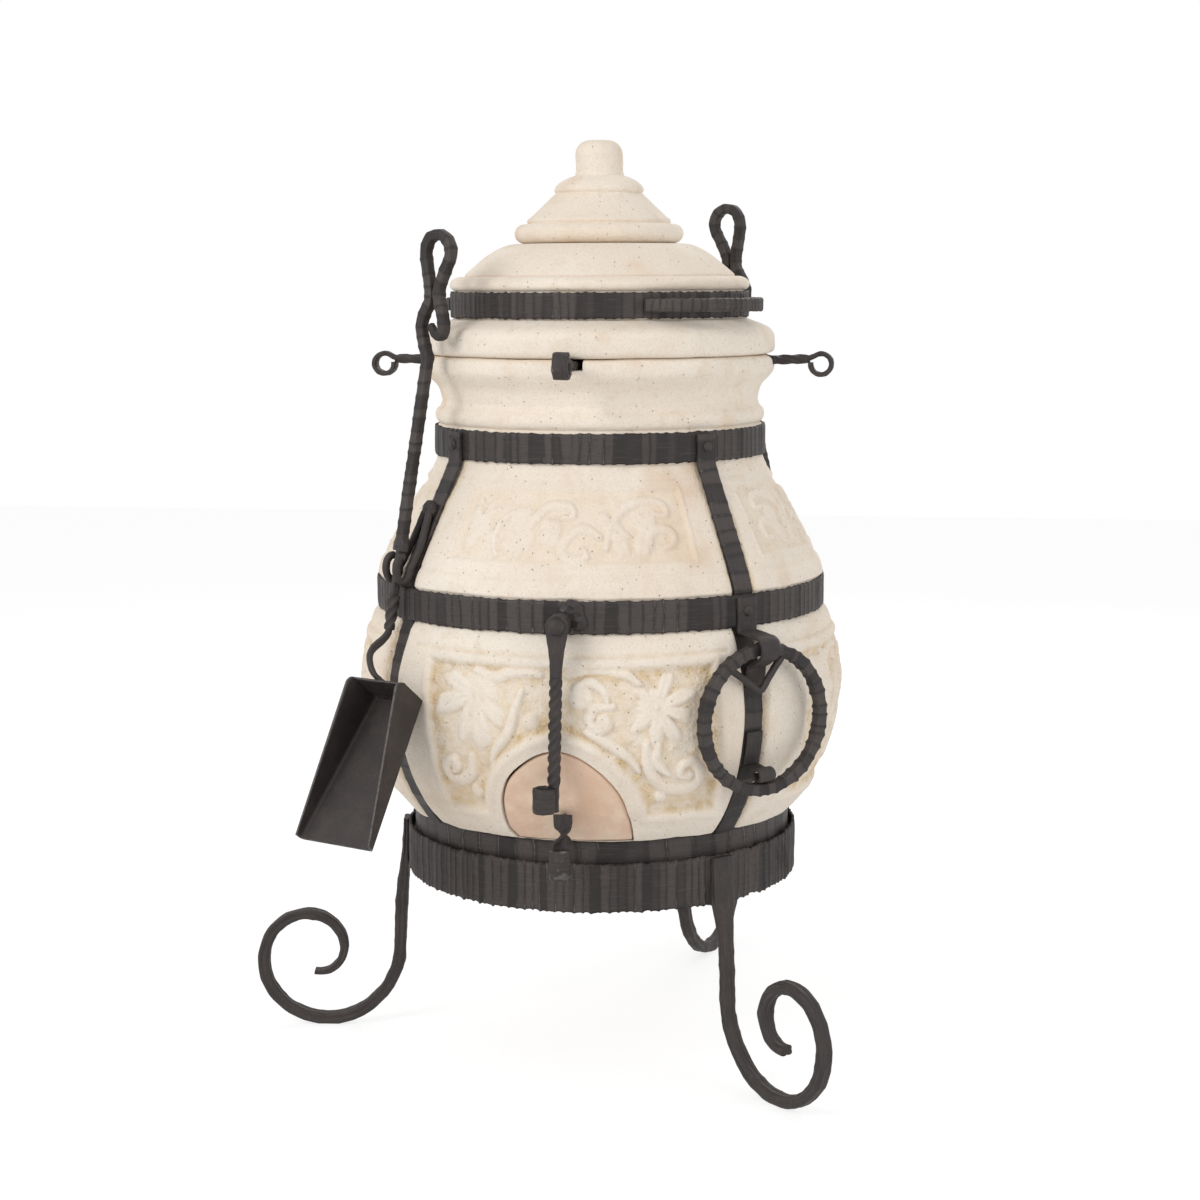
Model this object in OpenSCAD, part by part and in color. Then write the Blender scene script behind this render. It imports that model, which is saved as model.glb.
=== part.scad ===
// Clay tandoor oven on a forged stand.
// Origin on the floor under the pot's axis, +Z up, blow hole facing -Y.
// An azimuth is counted from -Y towards +X, in degrees.

/* [Stand] */
// Height of the stand ring's lower edge above the floor
stand_h = 205; // [170:5:260]
// Height of the stand ring
ring_h = 56; // [40:1:80]
// Thickness of the stand ring
ring_t = 3.5; // [2.5:0.5:6]
// Gap between the stand ring and the base band
ring_gap = 4.5; // [1:0.5:10]
// Side of the leg's square bar
leg_bar = 15; // [12:1:20]
// Width of the leg's flattened tongue on the ring
leg_tongue_w = 28; // [20:1:40]
// How far the leg leans out from the ring down to its scroll
leg_lean = 8; // [0:1:15]
// Radius of the scroll where it begins
scroll_reach = 102; // [80:1:125]
// Radius of the scroll where it ends
scroll_end_r = 24; // [20:1:30]
// Azimuth of the right-hand leg
leg_right_az = 44; // [30:1:60]
// Azimuth of the back leg
leg_back_az = 163; // [150:1:190]
// Azimuth of the left-hand leg, counted the other way
leg_left_az = 82; // [60:1:90]
// Height of the pot's underside above the ring's lower edge
rest_up = 35; // [20:1:50]
// Width of the flat bars under the pot
rest_w = 30; // [20:1:40]
// Thickness of the flat bars under the pot
rest_t = 6; // [4:1:10]

/* [Pot] */
// Height of the pot, underside to rim
pot_h = 575; // [480:1:700]
// Outer radius of the foot, inside the base band
foot_r = 220; // [180:1:265]
// Outer radius at the widest place
bulge_r = 287; // [275:1:345]
// Height of the widest place above the pot's underside
bulge_up = 192; // [170:1:215]
// Outer radius under the belly band
belly_seat_r = 260; // [240:1:275]
// Height of the belly band's lower edge above the pot's underside
belly_up = 283; // [265:1:310]
// Outer radius under the neck band
neck_seat_r = 190; // [175:1:205]
// Height of the neck band's lower edge above the pot's underside
neck_up = 460; // [440:1:470]
// Outer radius of the neck's bead
bead_r = 192.5; // [185:0.5:200]
// Outer radius of the neck where it is thinnest
neck_r = 184.5; // [178:0.5:190]
// Outer radius of the rim
rim_r = 204; // [196:0.5:210]
// Thickness of the clay wall
wall = 42; // [34:1:50]
// Thickness of the pot's floor
floor_t = 48; // [36:1:55]
// How far the panels stand out past the straps
lug = 8; // [4:1:12]

/* [Blow hole and plug] */
// Width of the blow hole
hole_w = 143; // [120:1:170]
// Height of the blow hole
hole_h = 111; // [90:1:120]
// Clearance round the plug
plug_gap = 2; // [1:0.5:4]
// Thickness of the plug
plug_t = 30; // [24:1:36]
// Width of the plug handle's strip
plug_strip_w = 20; // [14:1:26]

/* [Bands and straps] */
// Height of the neck band
neck_band_h = 34; // [24:1:42]
// Height of the belly band
belly_band_h = 36; // [26:1:44]
// Height of the base band
base_band_h = 46; // [36:1:55]
// Thickness of the bands
band_t = 3.6; // [2.5:0.1:5]
// Width of the straps
strap_w = 26; // [20:1:32]
// Thickness of the straps
strap_t = 4; // [3:0.5:5]
// Azimuth of the right-hand front strap
strap_right_az = 46; // [42:1:52]
// Azimuth of the left-hand front strap, counted the other way
strap_left_az = 48; // [42:1:52]
// Azimuth of the two back straps
strap_back_az = 134; // [125:1:145]
// Radius of a rivet's head
rivet_head_r = 6; // [4:0.5:8]
// Height of a rivet's head
rivet_head_h = 3.5; // [2:0.5:5]

/* [Latch] */
// Radius of the latch's pin
latch_pin_r = 5; // [4:0.5:7]
// How far the pin lies below the middle of the belly band
latch_low = 4; // [0:1:6]
// Width of the latch's eye
latch_eye_w = 25; // [22:1:32]
// Width of the latch bar
latch_bar_w = 12; // [9:1:14]
// Thickness of the latch bar
latch_bar_t = 9; // [7:0.5:11]
// Length of the latch bar below its pin
latch_len = 202; // [190:1:220]
// Angle at which the latch hangs
latch_hang = 1.5; // [0:0.5:3]

/* [Ring handles] */
// Outer radius of a ring handle
grip_ring_r = 85; // [76:1:95]
// Side of the ring handle's bar
grip_bar = 14; // [10:1:16]
// Height of the ring's pivot below the belly band
grip_drop = 21; // [20:1:30]
// How far the right-hand ring hangs turned towards the front
grip_turn = 5; // [0:1:6]
// How far a ring has slipped round in its bracket
grip_slip = 8; // [0:1:15]
// Width of the bracket that carries it
bracket_w = 26; // [20:1:30]
// Thickness of the bracket
bracket_t = 4; // [3:0.5:5]

/* [Fire tools] */
// Side of the tools' square bar
tool_bar = 12; // [11:0.5:13]
// Side of the tool's neck, where it passes the fork
tool_neck = 9; // [7:0.5:10]
// Thickness of the fork's round prongs
prong_d = 9; // [6:0.5:10]
// Half of the prong curls' height, to the bar's middle
prong_curl_h = 14; // [11:0.5:17]
// Half of the prong curls' depth, to the bar's middle
prong_curl_r = 8.5; // [7:0.5:12]
// Height of the curls above the pot's underside
fork_up = 341; // [335:1:355]
// Height of the loop grip's top above the fork, shovel
shovel_top = 376; // [330:1:400]
// The same, poker
poker_top = 412; // [380:1:440]
// How far the poker leans sideways at its top
poker_lean = 27; // [0:1:32]
// Length of the shovel's blade
blade_len = 181; // [150:1:210]
// Width of the blade at its back
blade_back_w = 67; // [55:1:80]
// Width of the blade at its tip
blade_tip_w = 102; // [80:1:120]
// Height of the blade's walls at its back
blade_wall_h = 54; // [40:1:58]
// Thickness of the blade's sheet
sheet_t = 2; // [1.5:0.5:3]

/* [Food hanger] */
// Half of the hanger's span, tip to middle
hanger_reach = 274; // [255:1:300]
// Width of the hanger's bars
hanger_w = 12; // [9:1:14]
// Width of the flattened curls at its ends
hanger_curl_w = 18; // [12:1:22]
// Height of the hanger's bars
hanger_h = 10; // [8:1:12]
// Outer radius of the curls at its ends
hanger_curl_r = 15; // [12:1:18]

/* [Lid and cap] */
// Height of the ring lid
lid_h = 127; // [105:1:155]
// Outer radius of the lid's rim
lid_r = 204; // [196:0.5:208]
// Radius of the lid's central opening
lid_hole_r = 75; // [60:1:85]
// Outer radius under the lid's band
lid_seat_r = 170; // [158:1:176]
// Height of the lid's band
lid_band_h = 29; // [20:1:34]
// Clear space between the lid's grip and its band
grip_space = 22; // [18:1:30]
// Radial thickness of the lid's grip bar
lid_grip_t = 12; // [9:1:14]
// Height of the lid's grip bar
lid_grip_h = 15; // [11:1:18]
// Azimuth of the middle of the right-hand grip
lid_grip_az = 55; // [45:1:80]
// Height of the cap
cap_h = 118; // [100:1:140]
// Outer radius of the cap
cap_r = 98; // [92:1:105]
// Radius of the cap's knob
knob_r = 27.5; // [22:0.5:32]

/* [Grate] */
// Radius of the grate
grate_r = 132; // [110:1:138]
// Thickness of the grate
grate_t = 12; // [8:1:16]
// Height of the grate's feet
grate_leg_h = 32; // [20:1:45]

/* [Clearances] */
// Gap between pieces of clay or iron that lie on each other
seat_gap = 0.3; // [0.2:0.05:0.6]
// Gap between a strap or band and what it is fixed on
fix_gap = 0.2; // [0.1:0.05:0.4]
// Radial clearance of the latch on its pin
pin_gap = 0.08; // [0.02:0.01:0.1]
// Clearance at each side of the hanger's bars in their notches
notch_gap = 7; // [3:0.5:9]
// Clearance at each side of a tool's neck in its fork
neck_gap = 3; // [1:0.5:4]
// Smallest free space round a part that swings or slides past another
swing_gap = 3; // [2:0.5:6]

/* [Hidden] */

ROUND = 96;
clay = [0.93, 0.87, 0.79];
terracotta = [0.85, 0.71, 0.61];
iron = [0.24, 0.22, 0.22];
cast = [0.17, 0.17, 0.17];

// Heights above the floor
pot_z = stand_h + rest_up;
base_top = pot_z + base_band_h;
bulge_z = pot_z + bulge_up;
belly_z = pot_z + belly_up;
belly_top = belly_z + belly_band_h;
neck_z = pot_z + neck_up;
neck_top = neck_z + neck_band_h;
rim_z = pot_z + pot_h;
floor_z = pot_z + floor_t;
lid_z = rim_z + seat_gap;
lid_top = lid_z + lid_h;
cap_z = lid_top + seat_gap;
hole_z = base_top + 1;
fork_z = pot_z + fork_up;

// Radii of the bands' outer faces
base_ro = foot_r + fix_gap + band_t;
belly_ro = belly_seat_r + fix_gap + band_t;
neck_ro = neck_seat_r + fix_gap + band_t;
lid_band_ro = lid_seat_r + fix_gap + band_t;
ring_ri = base_ro + ring_gap;
ring_ro = ring_ri + ring_t;

// ---------- curves and strips ----------

function bez(a, b, c, d, n) = [for (i = [0:n]) let (t = i / n, u = 1 - t)
    u * u * u * a + 3 * u * u * t * b + 3 * u * t * t * c + t * t * t * d];
function arc(c, r, a0, a1, n) = [for (i = [0:n]) let (a = a0 + (a1 - a0) * i / n)
    c + r * [cos(a), sin(a)]];
function tail(v) = [for (i = [1:len(v) - 1]) v[i]];
function unit(v) = v / norm(v);
function clamp_i(i, n) = min(max(i, 0), n - 1);
function tangent(p, i) = unit(p[clamp_i(i + 1, len(p))] - p[clamp_i(i - 1, len(p))]);
// Smooth curve through a few chosen points, n steps between two of them
function through(p, n) = [for (i = [0:len(p) - 2], k = [0:n - 1]) curve_point(p, i, k / n),
    p[len(p) - 1]];
function curve_point(p, i, t) = let (
        a = p[clamp_i(i - 1, len(p))], b = p[i], c = p[i + 1], d = p[clamp_i(i + 2, len(p))])
    0.5 * (2 * b + (c - a) * t + (2 * a - 5 * b + 4 * c - d) * t * t
        + (3 * b - a - 3 * c + d) * t * t * t);
function listed(v, i) = is_list(v) ? v[i] : v;
// Outline of a strip along a flat path; left and right are distances from the path
function strip(p, left, right) = concat(
    [for (i = [0:len(p) - 1]) let (t = tangent(p, i)) p[i] + listed(left, i) * [-t.y, t.x]],
    [for (i = [len(p) - 1:-1:0]) let (t = tangent(p, i)) p[i] - listed(right, i) * [-t.y, t.x]]);

// A bar along a path in space; ref is a direction never parallel to the path
module bar(path, w, h, ref, turn = 0, sides = 4) {
    n = len(path);
    points = [for (i = [0:n - 1]) let (
            t = tangent(path, i),
            s = unit(cross(t, ref)),
            u = cross(s, t),
            a = listed(turn, i),
            k = sides == 4 ? sqrt(0.5) : 0.5)
        for (j = [0:sides - 1]) let (
            b = (j + (sides == 4 ? 0.5 : 0)) * 360 / sides,
            x = k * cos(b) * listed(w, i),
            y = k * sin(b) * listed(h, i))
        path[i] + s * (x * cos(a) - y * sin(a)) + u * (x * sin(a) + y * cos(a))];
    walls = [for (i = [0:n - 2], j = [0:sides - 1]) let (
            a = i * sides + j,
            b = i * sides + (j + 1) % sides)
        each [[a, b, b + sides], [a, b + sides, a + sides]]];
    caps = [for (j = [1:sides - 2])
        each [[0, j + 1, j], [(n - 1) * sides, (n - 1) * sides + j, (n - 1) * sides + j + 1]]];
    polyhedron(points, concat(walls, caps), convexity = 8);
}

// Stands a flat (radius, height) outline up at an azimuth, w wide
module meridian(az, w) {
    rotate([0, 0, az - 90]) rotate([90, 0, 0]) linear_extrude(w, center = true) children();
}
// A cylinder lying along a radius, from r0 to r1
module spoke(az, z, r, r0, r1) {
    rotate([0, 0, az - 90]) translate([r0, 0, z]) rotate([0, 90, 0]) cylinder(r1 - r0, r, r, $fn = 32);
}
module hoop(ri, ro, z, h) {
    translate([0, 0, z]) difference() {
        cylinder(h, ro, ro, $fn = ROUND);
        translate([0, 0, -1]) cylinder(h + 2, ri, ri, $fn = ROUND);
    }
}
function radial(az) = [sin(az), -cos(az), 0];
function along(az) = [cos(az), sin(az), 0];
// A point given by its distance out and sideways from a meridian
function at(az, r, side, z) = r * radial(az) + side * along(az) + [0, 0, z];

// ---------- pot outlines, as (radius, height) ----------

lip = 11;
// How far the hollow under the belly band swells past the band's seat
belly_swell = 27;
lower_curve = bez([foot_r + 11, hole_z - 0.4], [foot_r + 44, hole_z + 33],
    [bulge_r, bulge_z - 56], [bulge_r, bulge_z], 7);
upper_curve = bez([bulge_r, bulge_z], [bulge_r, bulge_z + 36],
    [belly_seat_r + 17, belly_z - 30], [belly_seat_r + 9, belly_z - 9], 5);
shoulder_curve = bez([belly_seat_r + 1, belly_top + 10], [belly_seat_r - 18, belly_top + 50],
    [neck_seat_r + 32, neck_z - 56], [neck_seat_r + 13, neck_z - 28], 6);
rim_curve = [
    [neck_r, neck_top + 28], [neck_r + 5, neck_top + 45], [rim_r - 2, neck_top + 59],
    [rim_r, neck_top + 64], [rim_r, rim_z - 7], [rim_r - 2, rim_z - 2.5], [rim_r - 6, rim_z]];
pot_outside = concat(
    [[0, pot_z], [foot_r - 4, pot_z], [foot_r, pot_z + 4], [foot_r, hole_z - 0.8]],
    lower_curve, tail(upper_curve),
    [[belly_seat_r + 2, belly_z - 1], [belly_seat_r, belly_z - 0.5],
        [belly_seat_r, belly_top + 0.5], [belly_seat_r + 2, belly_top + 2]],
    shoulder_curve,
    [[neck_seat_r + 4, neck_z - 12], [neck_seat_r, neck_z - 1], [neck_seat_r, neck_top + 0.5]],
    arc([bead_r - lip, neck_top + 12], lip, -70, 70, 6),
    rim_curve);
pot_inside = concat(
    [[rim_r - wall, rim_z], [rim_r - wall, neck_top + 66], [neck_r - wall + 5, neck_top + 34],
        [neck_r - wall + 4, neck_z]],
    bez([neck_r - wall + 12, neck_z - 30], [belly_seat_r - wall - 20, belly_top + 20],
        [belly_seat_r + belly_swell - wall, belly_z], [bulge_r - wall, bulge_z], 8),
    tail(bez([bulge_r - wall, bulge_z], [bulge_r - wall, bulge_z - 60],
        [foot_r - wall + 40, floor_z + 40], [foot_r - wall, floor_z], 6)),
    [[0, floor_z]]);

// Inner face of a strap, from the base band up to its end on the neck band
strap_bulge_r = bulge_r - lug - strap_t;
strap_belly_r = belly_seat_r - strap_t - fix_gap;
strap_path = concat(
    bez([foot_r + 5, base_top + 0.5], [foot_r + 36, base_top + 38],
        [strap_bulge_r, bulge_z - 56], [strap_bulge_r, bulge_z], 8),
    tail(bez([strap_bulge_r, bulge_z], [strap_bulge_r, bulge_z + 34],
        [strap_belly_r + 8, belly_z - 34], [strap_belly_r, belly_z - 6], 6)),
    bez([strap_belly_r, belly_top + 4], [strap_belly_r - 16, belly_top + 50],
        [neck_seat_r + 26, neck_z - 50], [neck_ro + fix_gap, neck_z - 4], 7),
    [[neck_ro + fix_gap, neck_top - 3]]);
strap_face = [for (i = [0:len(strap_path) - 1]) let (t = tangent(strap_path, i))
    strap_path[i] + strap_t * [t.y, -t.x]];
function strap_r(z) = lookup(z, [for (p = strap_face) [p.y, p.x]]);

module pot_shape() {
    rotate_extrude($fn = ROUND) polygon(concat(pot_outside, pot_inside));
}
// The blow hole's outline, in halves of its width and parts of its height
arch_shape = [[-0.82, 0], [-0.95, 0.12], [-1, 0.32], [-0.97, 0.52], [-0.82, 0.73], [-0.45, 0.93],
    [-0.1, 1], [0.25, 0.95], [0.62, 0.77], [0.88, 0.53], [0.98, 0.28], [1, 0.1], [0.99, 0]];
module arch(w, h) {
    polygon([for (p = through(arch_shape, 4)) [p.x * w / 2, max(0, p.y * h)]]);
}
module through_front(depth) {
    rotate([90, 0, 0]) linear_extrude(depth) children();
}

module pot_body() {
    channel = concat([for (p = strap_path) p - [fix_gap, 0]],
        [[bulge_r + 40, neck_top], [bulge_r + 40, base_top - 4], [foot_r + 4.5, base_top - 4]]);
    color(clay) difference() {
        pot_shape();
        translate([0, 0, hole_z]) through_front(bulge_r + 20) arch(hole_w, hole_h);
        for (az = [0, 90, 180, 270]) rotate([0, 0, az])
            translate([-hanger_w / 2 - notch_gap, -rim_r - 10, rim_z - hanger_h - 2])
                cube([hanger_w + 2 * notch_gap, wall + 30, hanger_h + 12]);
        for (az = strap_azimuths) meridian(az, strap_w + 3) polygon(channel);
    }
}
strap_azimuths = [-strap_left_az, strap_right_az, -strap_back_az, strap_back_az];

// ---------- stand ----------

module stand_ring() color(iron) hoop(ring_ri, ring_ro, stand_h, ring_h);

leg_in = ring_ro + fix_gap;
foot_flat = 0.5;
function scroll_radius(k) = scroll_end_r + (scroll_reach - scroll_end_r) * pow(1 - k, 1.35);
scroll_turn = [for (i = [0:44]) let (k = i / 44, a = 180 + 455 * k)
    [leg_in + leg_lean + leg_bar / 2 + scroll_reach, 0] + scroll_radius(k) * [cos(a), sin(a)]];
scroll_up = leg_bar / 2 - foot_flat - min([for (p = scroll_turn) p.y]);
scroll_path = [for (p = scroll_turn) p + [0, scroll_up]];
leg_path = concat([
    [leg_in + 3.5, stand_h + ring_h - 2], [leg_in + 4, stand_h + ring_h / 2],
    [leg_in + 6.5, stand_h - 6], [leg_in + leg_bar / 2 + leg_lean / 2, stand_h - 50]], scroll_path);
leg_half = concat([3.5, 4.5, 6.5, leg_bar / 2],
    [for (i = [0:len(scroll_path) - 1]) leg_bar / 2 * (1 - 0.4 * pow(i / len(scroll_path), 3))]);
module leg(az) {
    w = leg_bar / 2;
    flare = leg_tongue_w / 2;
    top = stand_h + ring_h;
    color(iron) difference() {
        intersection() {
            meridian(az, leg_tongue_w + 2) polygon(strip(leg_path, leg_half, leg_half));
            rotate([0, 0, az - 90]) rotate([90, 0, 90]) linear_extrude(2 * leg_path[0].x) polygon([
                [-w, -w], [-w, stand_h - 36], [-flare, stand_h + 2], [-flare, top],
                [flare, top], [flare, stand_h + 2], [w, stand_h - 36], [w, -w]]);
        }
        translate([0, 0, -leg_bar]) cylinder(leg_bar, 3 * ring_ro, 3 * ring_ro, $fn = 32);
        cylinder(top + 1, leg_in, leg_in, $fn = ROUND);
    }
}
module leg_right() leg(leg_right_az);
module leg_left() leg(-leg_left_az);
module leg_back() leg(leg_back_az);
module pot_rest() {
    color(iron) intersection() {
        for (az = [leg_right_az, leg_back_az, -leg_left_az]) rotate([0, 0, az])
            translate([-rest_w / 2, -ring_ri, pot_z - seat_gap - rest_t])
                cube([rest_w, ring_ri, rest_t]);
        cylinder(pot_z, ring_ri - fix_gap, ring_ri - fix_gap, $fn = ROUND);
    }
}

// ---------- hoops, straps and what is riveted to them ----------

module neck_band() color(iron)
    hoop(neck_seat_r + fix_gap, neck_ro, neck_z, neck_band_h);
module belly_band() color(iron)
    hoop(belly_seat_r + fix_gap, belly_ro, belly_z, belly_band_h);
module base_band() color(iron)
    hoop(foot_r + fix_gap, base_ro, pot_z + 1, base_band_h - 1);

module strap(az) color(iron) meridian(az, strap_w) polygon(strip(strap_path, 0, strap_t));
module strap_front_left() strap(-strap_left_az);
module strap_front_right() strap(strap_right_az);
module strap_back_left() strap(-strap_back_az);
module strap_back_right() strap(strap_back_az);

module rivet(az, z, r0) {
    rotate([0, 0, az - 90]) translate([r0, 0, z]) rotate([0, 90, 0])
        cylinder(rivet_head_h, rivet_head_r, rivet_head_r * 0.55, $fn = 32);
}
module band_rivets() {
    neck_face = neck_ro + fix_gap + strap_t + fix_gap;
    color(iron) {
        for (az = strap_azimuths) rivet(az, neck_z + neck_band_h / 2, neck_face);
        for (az = [strap_right_az, -strap_back_az])
            rivet(az, belly_z + belly_band_h / 2, belly_ro + bracket_t + 2 * fix_gap);
    }
}

// ---------- latch ----------

latch_z = belly_z + belly_band_h / 2 - latch_low;
latch_in = bulge_r + 2.5 * swing_gap;
latch_eye_t = 8;
module latch_stud() {
    color(iron) {
        spoke(0, latch_z, latch_pin_r + 6, belly_ro + fix_gap, latch_in - seat_gap);
        spoke(0, latch_z, latch_pin_r, latch_in - 4, latch_in + latch_eye_t + seat_gap + 1);
        rotate([0, 0, -90]) translate([latch_in + latch_eye_t + seat_gap, 0, latch_z])
            rotate([0, 90, 0]) rotate_extrude($fn = 48)
                polygon(concat([[0, 0], [latch_pin_r + 4, 0]],
                    arc([0, 0], latch_pin_r + 4, 10, 80, 5), [[0, latch_pin_r + 4]]));
    }
}
// Drawn hanging straight down, with its pin's middle at the origin
module latch_shape() {
    neck_len = 58;
    curl_len = 28;
    curl_r = 10;
    curl_out = 8;
    curl_t = 5;
    steps = 30;
    twist_len = latch_len - neck_len - curl_len;
    difference() {
        translate([0, latch_eye_t / 2, 0]) through_front(latch_eye_t) union() {
            circle(latch_eye_w / 2, $fn = 48);
            polygon([[-latch_eye_w / 2 + 1, -4], [-latch_bar_w / 2, -neck_len - 1],
                [latch_bar_w / 2, -neck_len - 1], [latch_eye_w / 2 - 1, -4]]);
        }
        translate([0, latch_eye_t, 0])
            through_front(2 * latch_eye_t) circle(latch_pin_r + pin_gap, $fn = 48);
    }
    bar([for (i = [0:steps]) [0, 0, -neck_len - twist_len * i / steps]],
        latch_bar_w - 1, latch_bar_w - 1, [0, 1, 0], [for (i = [0:steps]) 90 + 900 * i / steps]);
    translate([0, 0, -latch_len]) linear_extrude(curl_len + 0.01)
        polygon(strip(arc([-curl_r + 1, -curl_out], curl_r, 0, 290, 14), curl_t / 2, curl_t / 2));
    translate([-latch_bar_w / 2, -latch_bar_t / 2, -latch_len])
        cube([latch_bar_w, latch_bar_t, curl_len + 1]);
}
module latch_bar() {
    color(iron) translate([0, -latch_in - latch_eye_t / 2, latch_z])
        rotate([0, latch_hang, 0]) latch_shape();
}

// ---------- plug ----------

plug_pin_r = 4;
plug_pin_z = hole_z + 33;
module plug() {
    skin = 1.5;
    front = [for (p = lower_curve) p - [skin, 0]];
    back = [for (i = [len(lower_curve) - 1:-1:0]) lower_curve[i] - [plug_t, 0]];
    color(terracotta) difference() {
        intersection() {
            translate([0, 0, hole_z + seat_gap]) through_front(bulge_r)
                arch(hole_w - 2 * plug_gap, hole_h - seat_gap - plug_gap);
            rotate_extrude($fn = ROUND) polygon(concat(front, back));
        }
        spoke(0, plug_pin_z, plug_pin_r + pin_gap, foot_r + 8, bulge_r);
    }
}
module plug_handle() {
    face_r = foot_r + 34;
    root_z = plug_pin_z + 3;
    strip_r = face_r + 16;
    strip_t = 5;
    path = [for (i = [0:14]) [0, -strip_r - 2 * i / 14, root_z - 4 - 32 * i / 14]];
    color(iron) {
        bar(path, plug_strip_w, strip_t, [0, 1, 0], [for (i = [0:14]) 180 * i / 14]);
        translate([-plug_strip_w / 2, -strip_r - strip_t / 2, root_z - 8])
            cube([plug_strip_w, strip_t, 11]);
        spoke(0, plug_pin_z, plug_pin_r, foot_r + 12, strip_r);
        translate([0, 0, root_z - 68]) linear_extrude(33)
            polygon(strip(arc([-3, -strip_r - 2], 10, 0, 290, 14), 2.5, 2.5));
    }
}

// ---------- ring handles ----------

turn_room = 0.8;
grip_z = belly_z - grip_drop;
grip_r = bulge_r + grip_bar / 2 - 3 + swing_gap;
bow_r = grip_bar / 2 + swing_gap + turn_room;
module ring_bracket(az) {
    c = [grip_r, grip_z];
    plate_r = belly_ro + fix_gap + bracket_t / 2;
    half = bracket_t / 2;
    tip_r = strap_r(grip_z - 42) + fix_gap + half;
    path = concat(
        [[plate_r, belly_top - 3], [plate_r, belly_z - 1]],
        bez([plate_r + 1, belly_z - 5], [plate_r + 8, grip_z + bow_r + half + 3],
            c + [-8, bow_r + half + 1], c + [0, bow_r + half], 4),
        tail(arc(c, bow_r + half, 90, -75, 12)),
        [[tip_r + 4, grip_z - bow_r - 10], [tip_r, grip_z - 42]]);
    color(iron) meridian(az, bracket_w) polygon(strip(path, half, half));
}
module ring_bracket_right() ring_bracket(strap_right_az);
module ring_bracket_left() ring_bracket(-strap_back_az);

grip_mid = grip_ring_r - grip_bar / 2;
grip_low_in = grip_z - 2 * grip_mid + grip_bar / 2;
module ring_rest(az) {
    curl = 6.5;
    half = 1.8;
    c = [grip_r + 2, grip_low_in + curl + half + 1];
    base = [for (k = [0:6]) let (z = c.y + 46 - 6.5 * k) [strap_r(z) + fix_gap + 1.15 * half, z]];
    path = concat(base, [c + [-curl - 3, curl - 2]], arc(c, curl, 115, -190, 12));
    color(iron) meridian(az, strap_w - 4) polygon(strip(path, half, half));
}
module ring_rest_right() ring_rest(strap_right_az);
module ring_rest_left() ring_rest(-strap_back_az);

module ring_handle(az) {
    a = grip_bar / 2;
    c = a * 0.45;
    v_point = grip_mid - 46;
    v_side = grip_mid * 0.5;
    color(iron) rotate([0, 0, az]) translate([0, -grip_r, grip_z - grip_mid]) {
        rotate([90, 0, 0]) rotate_extrude($fn = ROUND) translate([grip_mid, 0])
            polygon([[-a, -a + c], [-a + c, -a], [a - c, -a], [a, -a + c],
                [a, a - c], [a - c, a], [-a + c, a], [-a, a - c]]);
        rotate([90, 0, 0]) rotate([0, 0, grip_slip]) linear_extrude(7, center = true)
            polygon(strip([[-v_side, sqrt(grip_mid * grip_mid - v_side * v_side)], [0, v_point],
                [v_side, sqrt(grip_mid * grip_mid - v_side * v_side)]], 4, 4));
    }
}
module ring_handle_right() {
    translate(grip_r * (radial(strap_right_az) - radial(strap_right_az - grip_turn)))
        ring_handle(strap_right_az - grip_turn);
}
module ring_handle_left() ring_handle(-strap_back_az);

// ---------- fire tools and their forks ----------

fork_side = tool_neck / 2 + neck_gap + prong_d / 2;
fork_r = bulge_r - 15.5;
// Everything within a strap's outer face
module inside_strap(az) {
    meridian(az, 2 * strap_w) polygon(concat([[0, base_top]],
        [for (p = strap_path) [strap_r(p.y) + fix_gap, p.y]], [[0, neck_top]]));
}
module fork(az) {
    knot_z = fork_z + 64;
    out = prong_d / 2 + fix_gap + 1;
    curl = [for (a = [180:20:460]) [fork_r + prong_curl_r * cos(a), fork_z + prong_curl_h * sin(a)]];
    drop = through([[strap_r(knot_z) + out + 2, knot_z], [strap_r(fork_z + 42) + out, fork_z + 42],
        [strap_r(fork_z + 20) + out, fork_z + 20], [fork_r - prong_curl_r, fork_z]], 4);
    color(iron) {
        for (s = [-1, 1]) bar(
            [for (i = [0:len(drop) - 2]) let (spread = min(1, 0.35 + i / 12))
                    at(az, drop[i].x, s * fork_side * spread, drop[i].y),
                for (p = curl) at(az, p.x, s * fork_side, p.y)],
            prong_d, prong_d, along(az), 0, 8);
        difference() {
            spoke(az, knot_z, 9, strap_r(knot_z) - 9, strap_r(knot_z) + prong_d + 4);
            inside_strap(az);
        }
    }
}
module shovel_hanger() fork(-strap_left_az);
module poker_hanger() fork(strap_back_az);

// The loop grip, as (sideways, height) points from the tail round to the shank
loop_shape = through([[5, 34], [12, 25], [20, 21], [26, 30], [24, 46], [20, 60], [20, 74],
    [29, 92], [38, 108], [38, 120], [30, 130], [18, 133], [6, 128], [0, 114], [2, 96],
    [5.5, 76], [5, 60], [-4, 46], [-9, 32], [-6, 14], [0, -4]], 3);
loop_h = 133 + tool_bar / 2;
loop_turn = 15;
top_r = rim_r + 25;
shoulder_z = fork_z + prong_curl_h + prong_d / 2 + seat_gap;
shoulder_w = 2 * fork_side + 1;
neck_low = fork_z - prong_curl_h - prong_d / 2 - 14;
twist_low = neck_low - 36;
tool_slope = (fork_r - top_r) / (shovel_top - loop_h);
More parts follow.
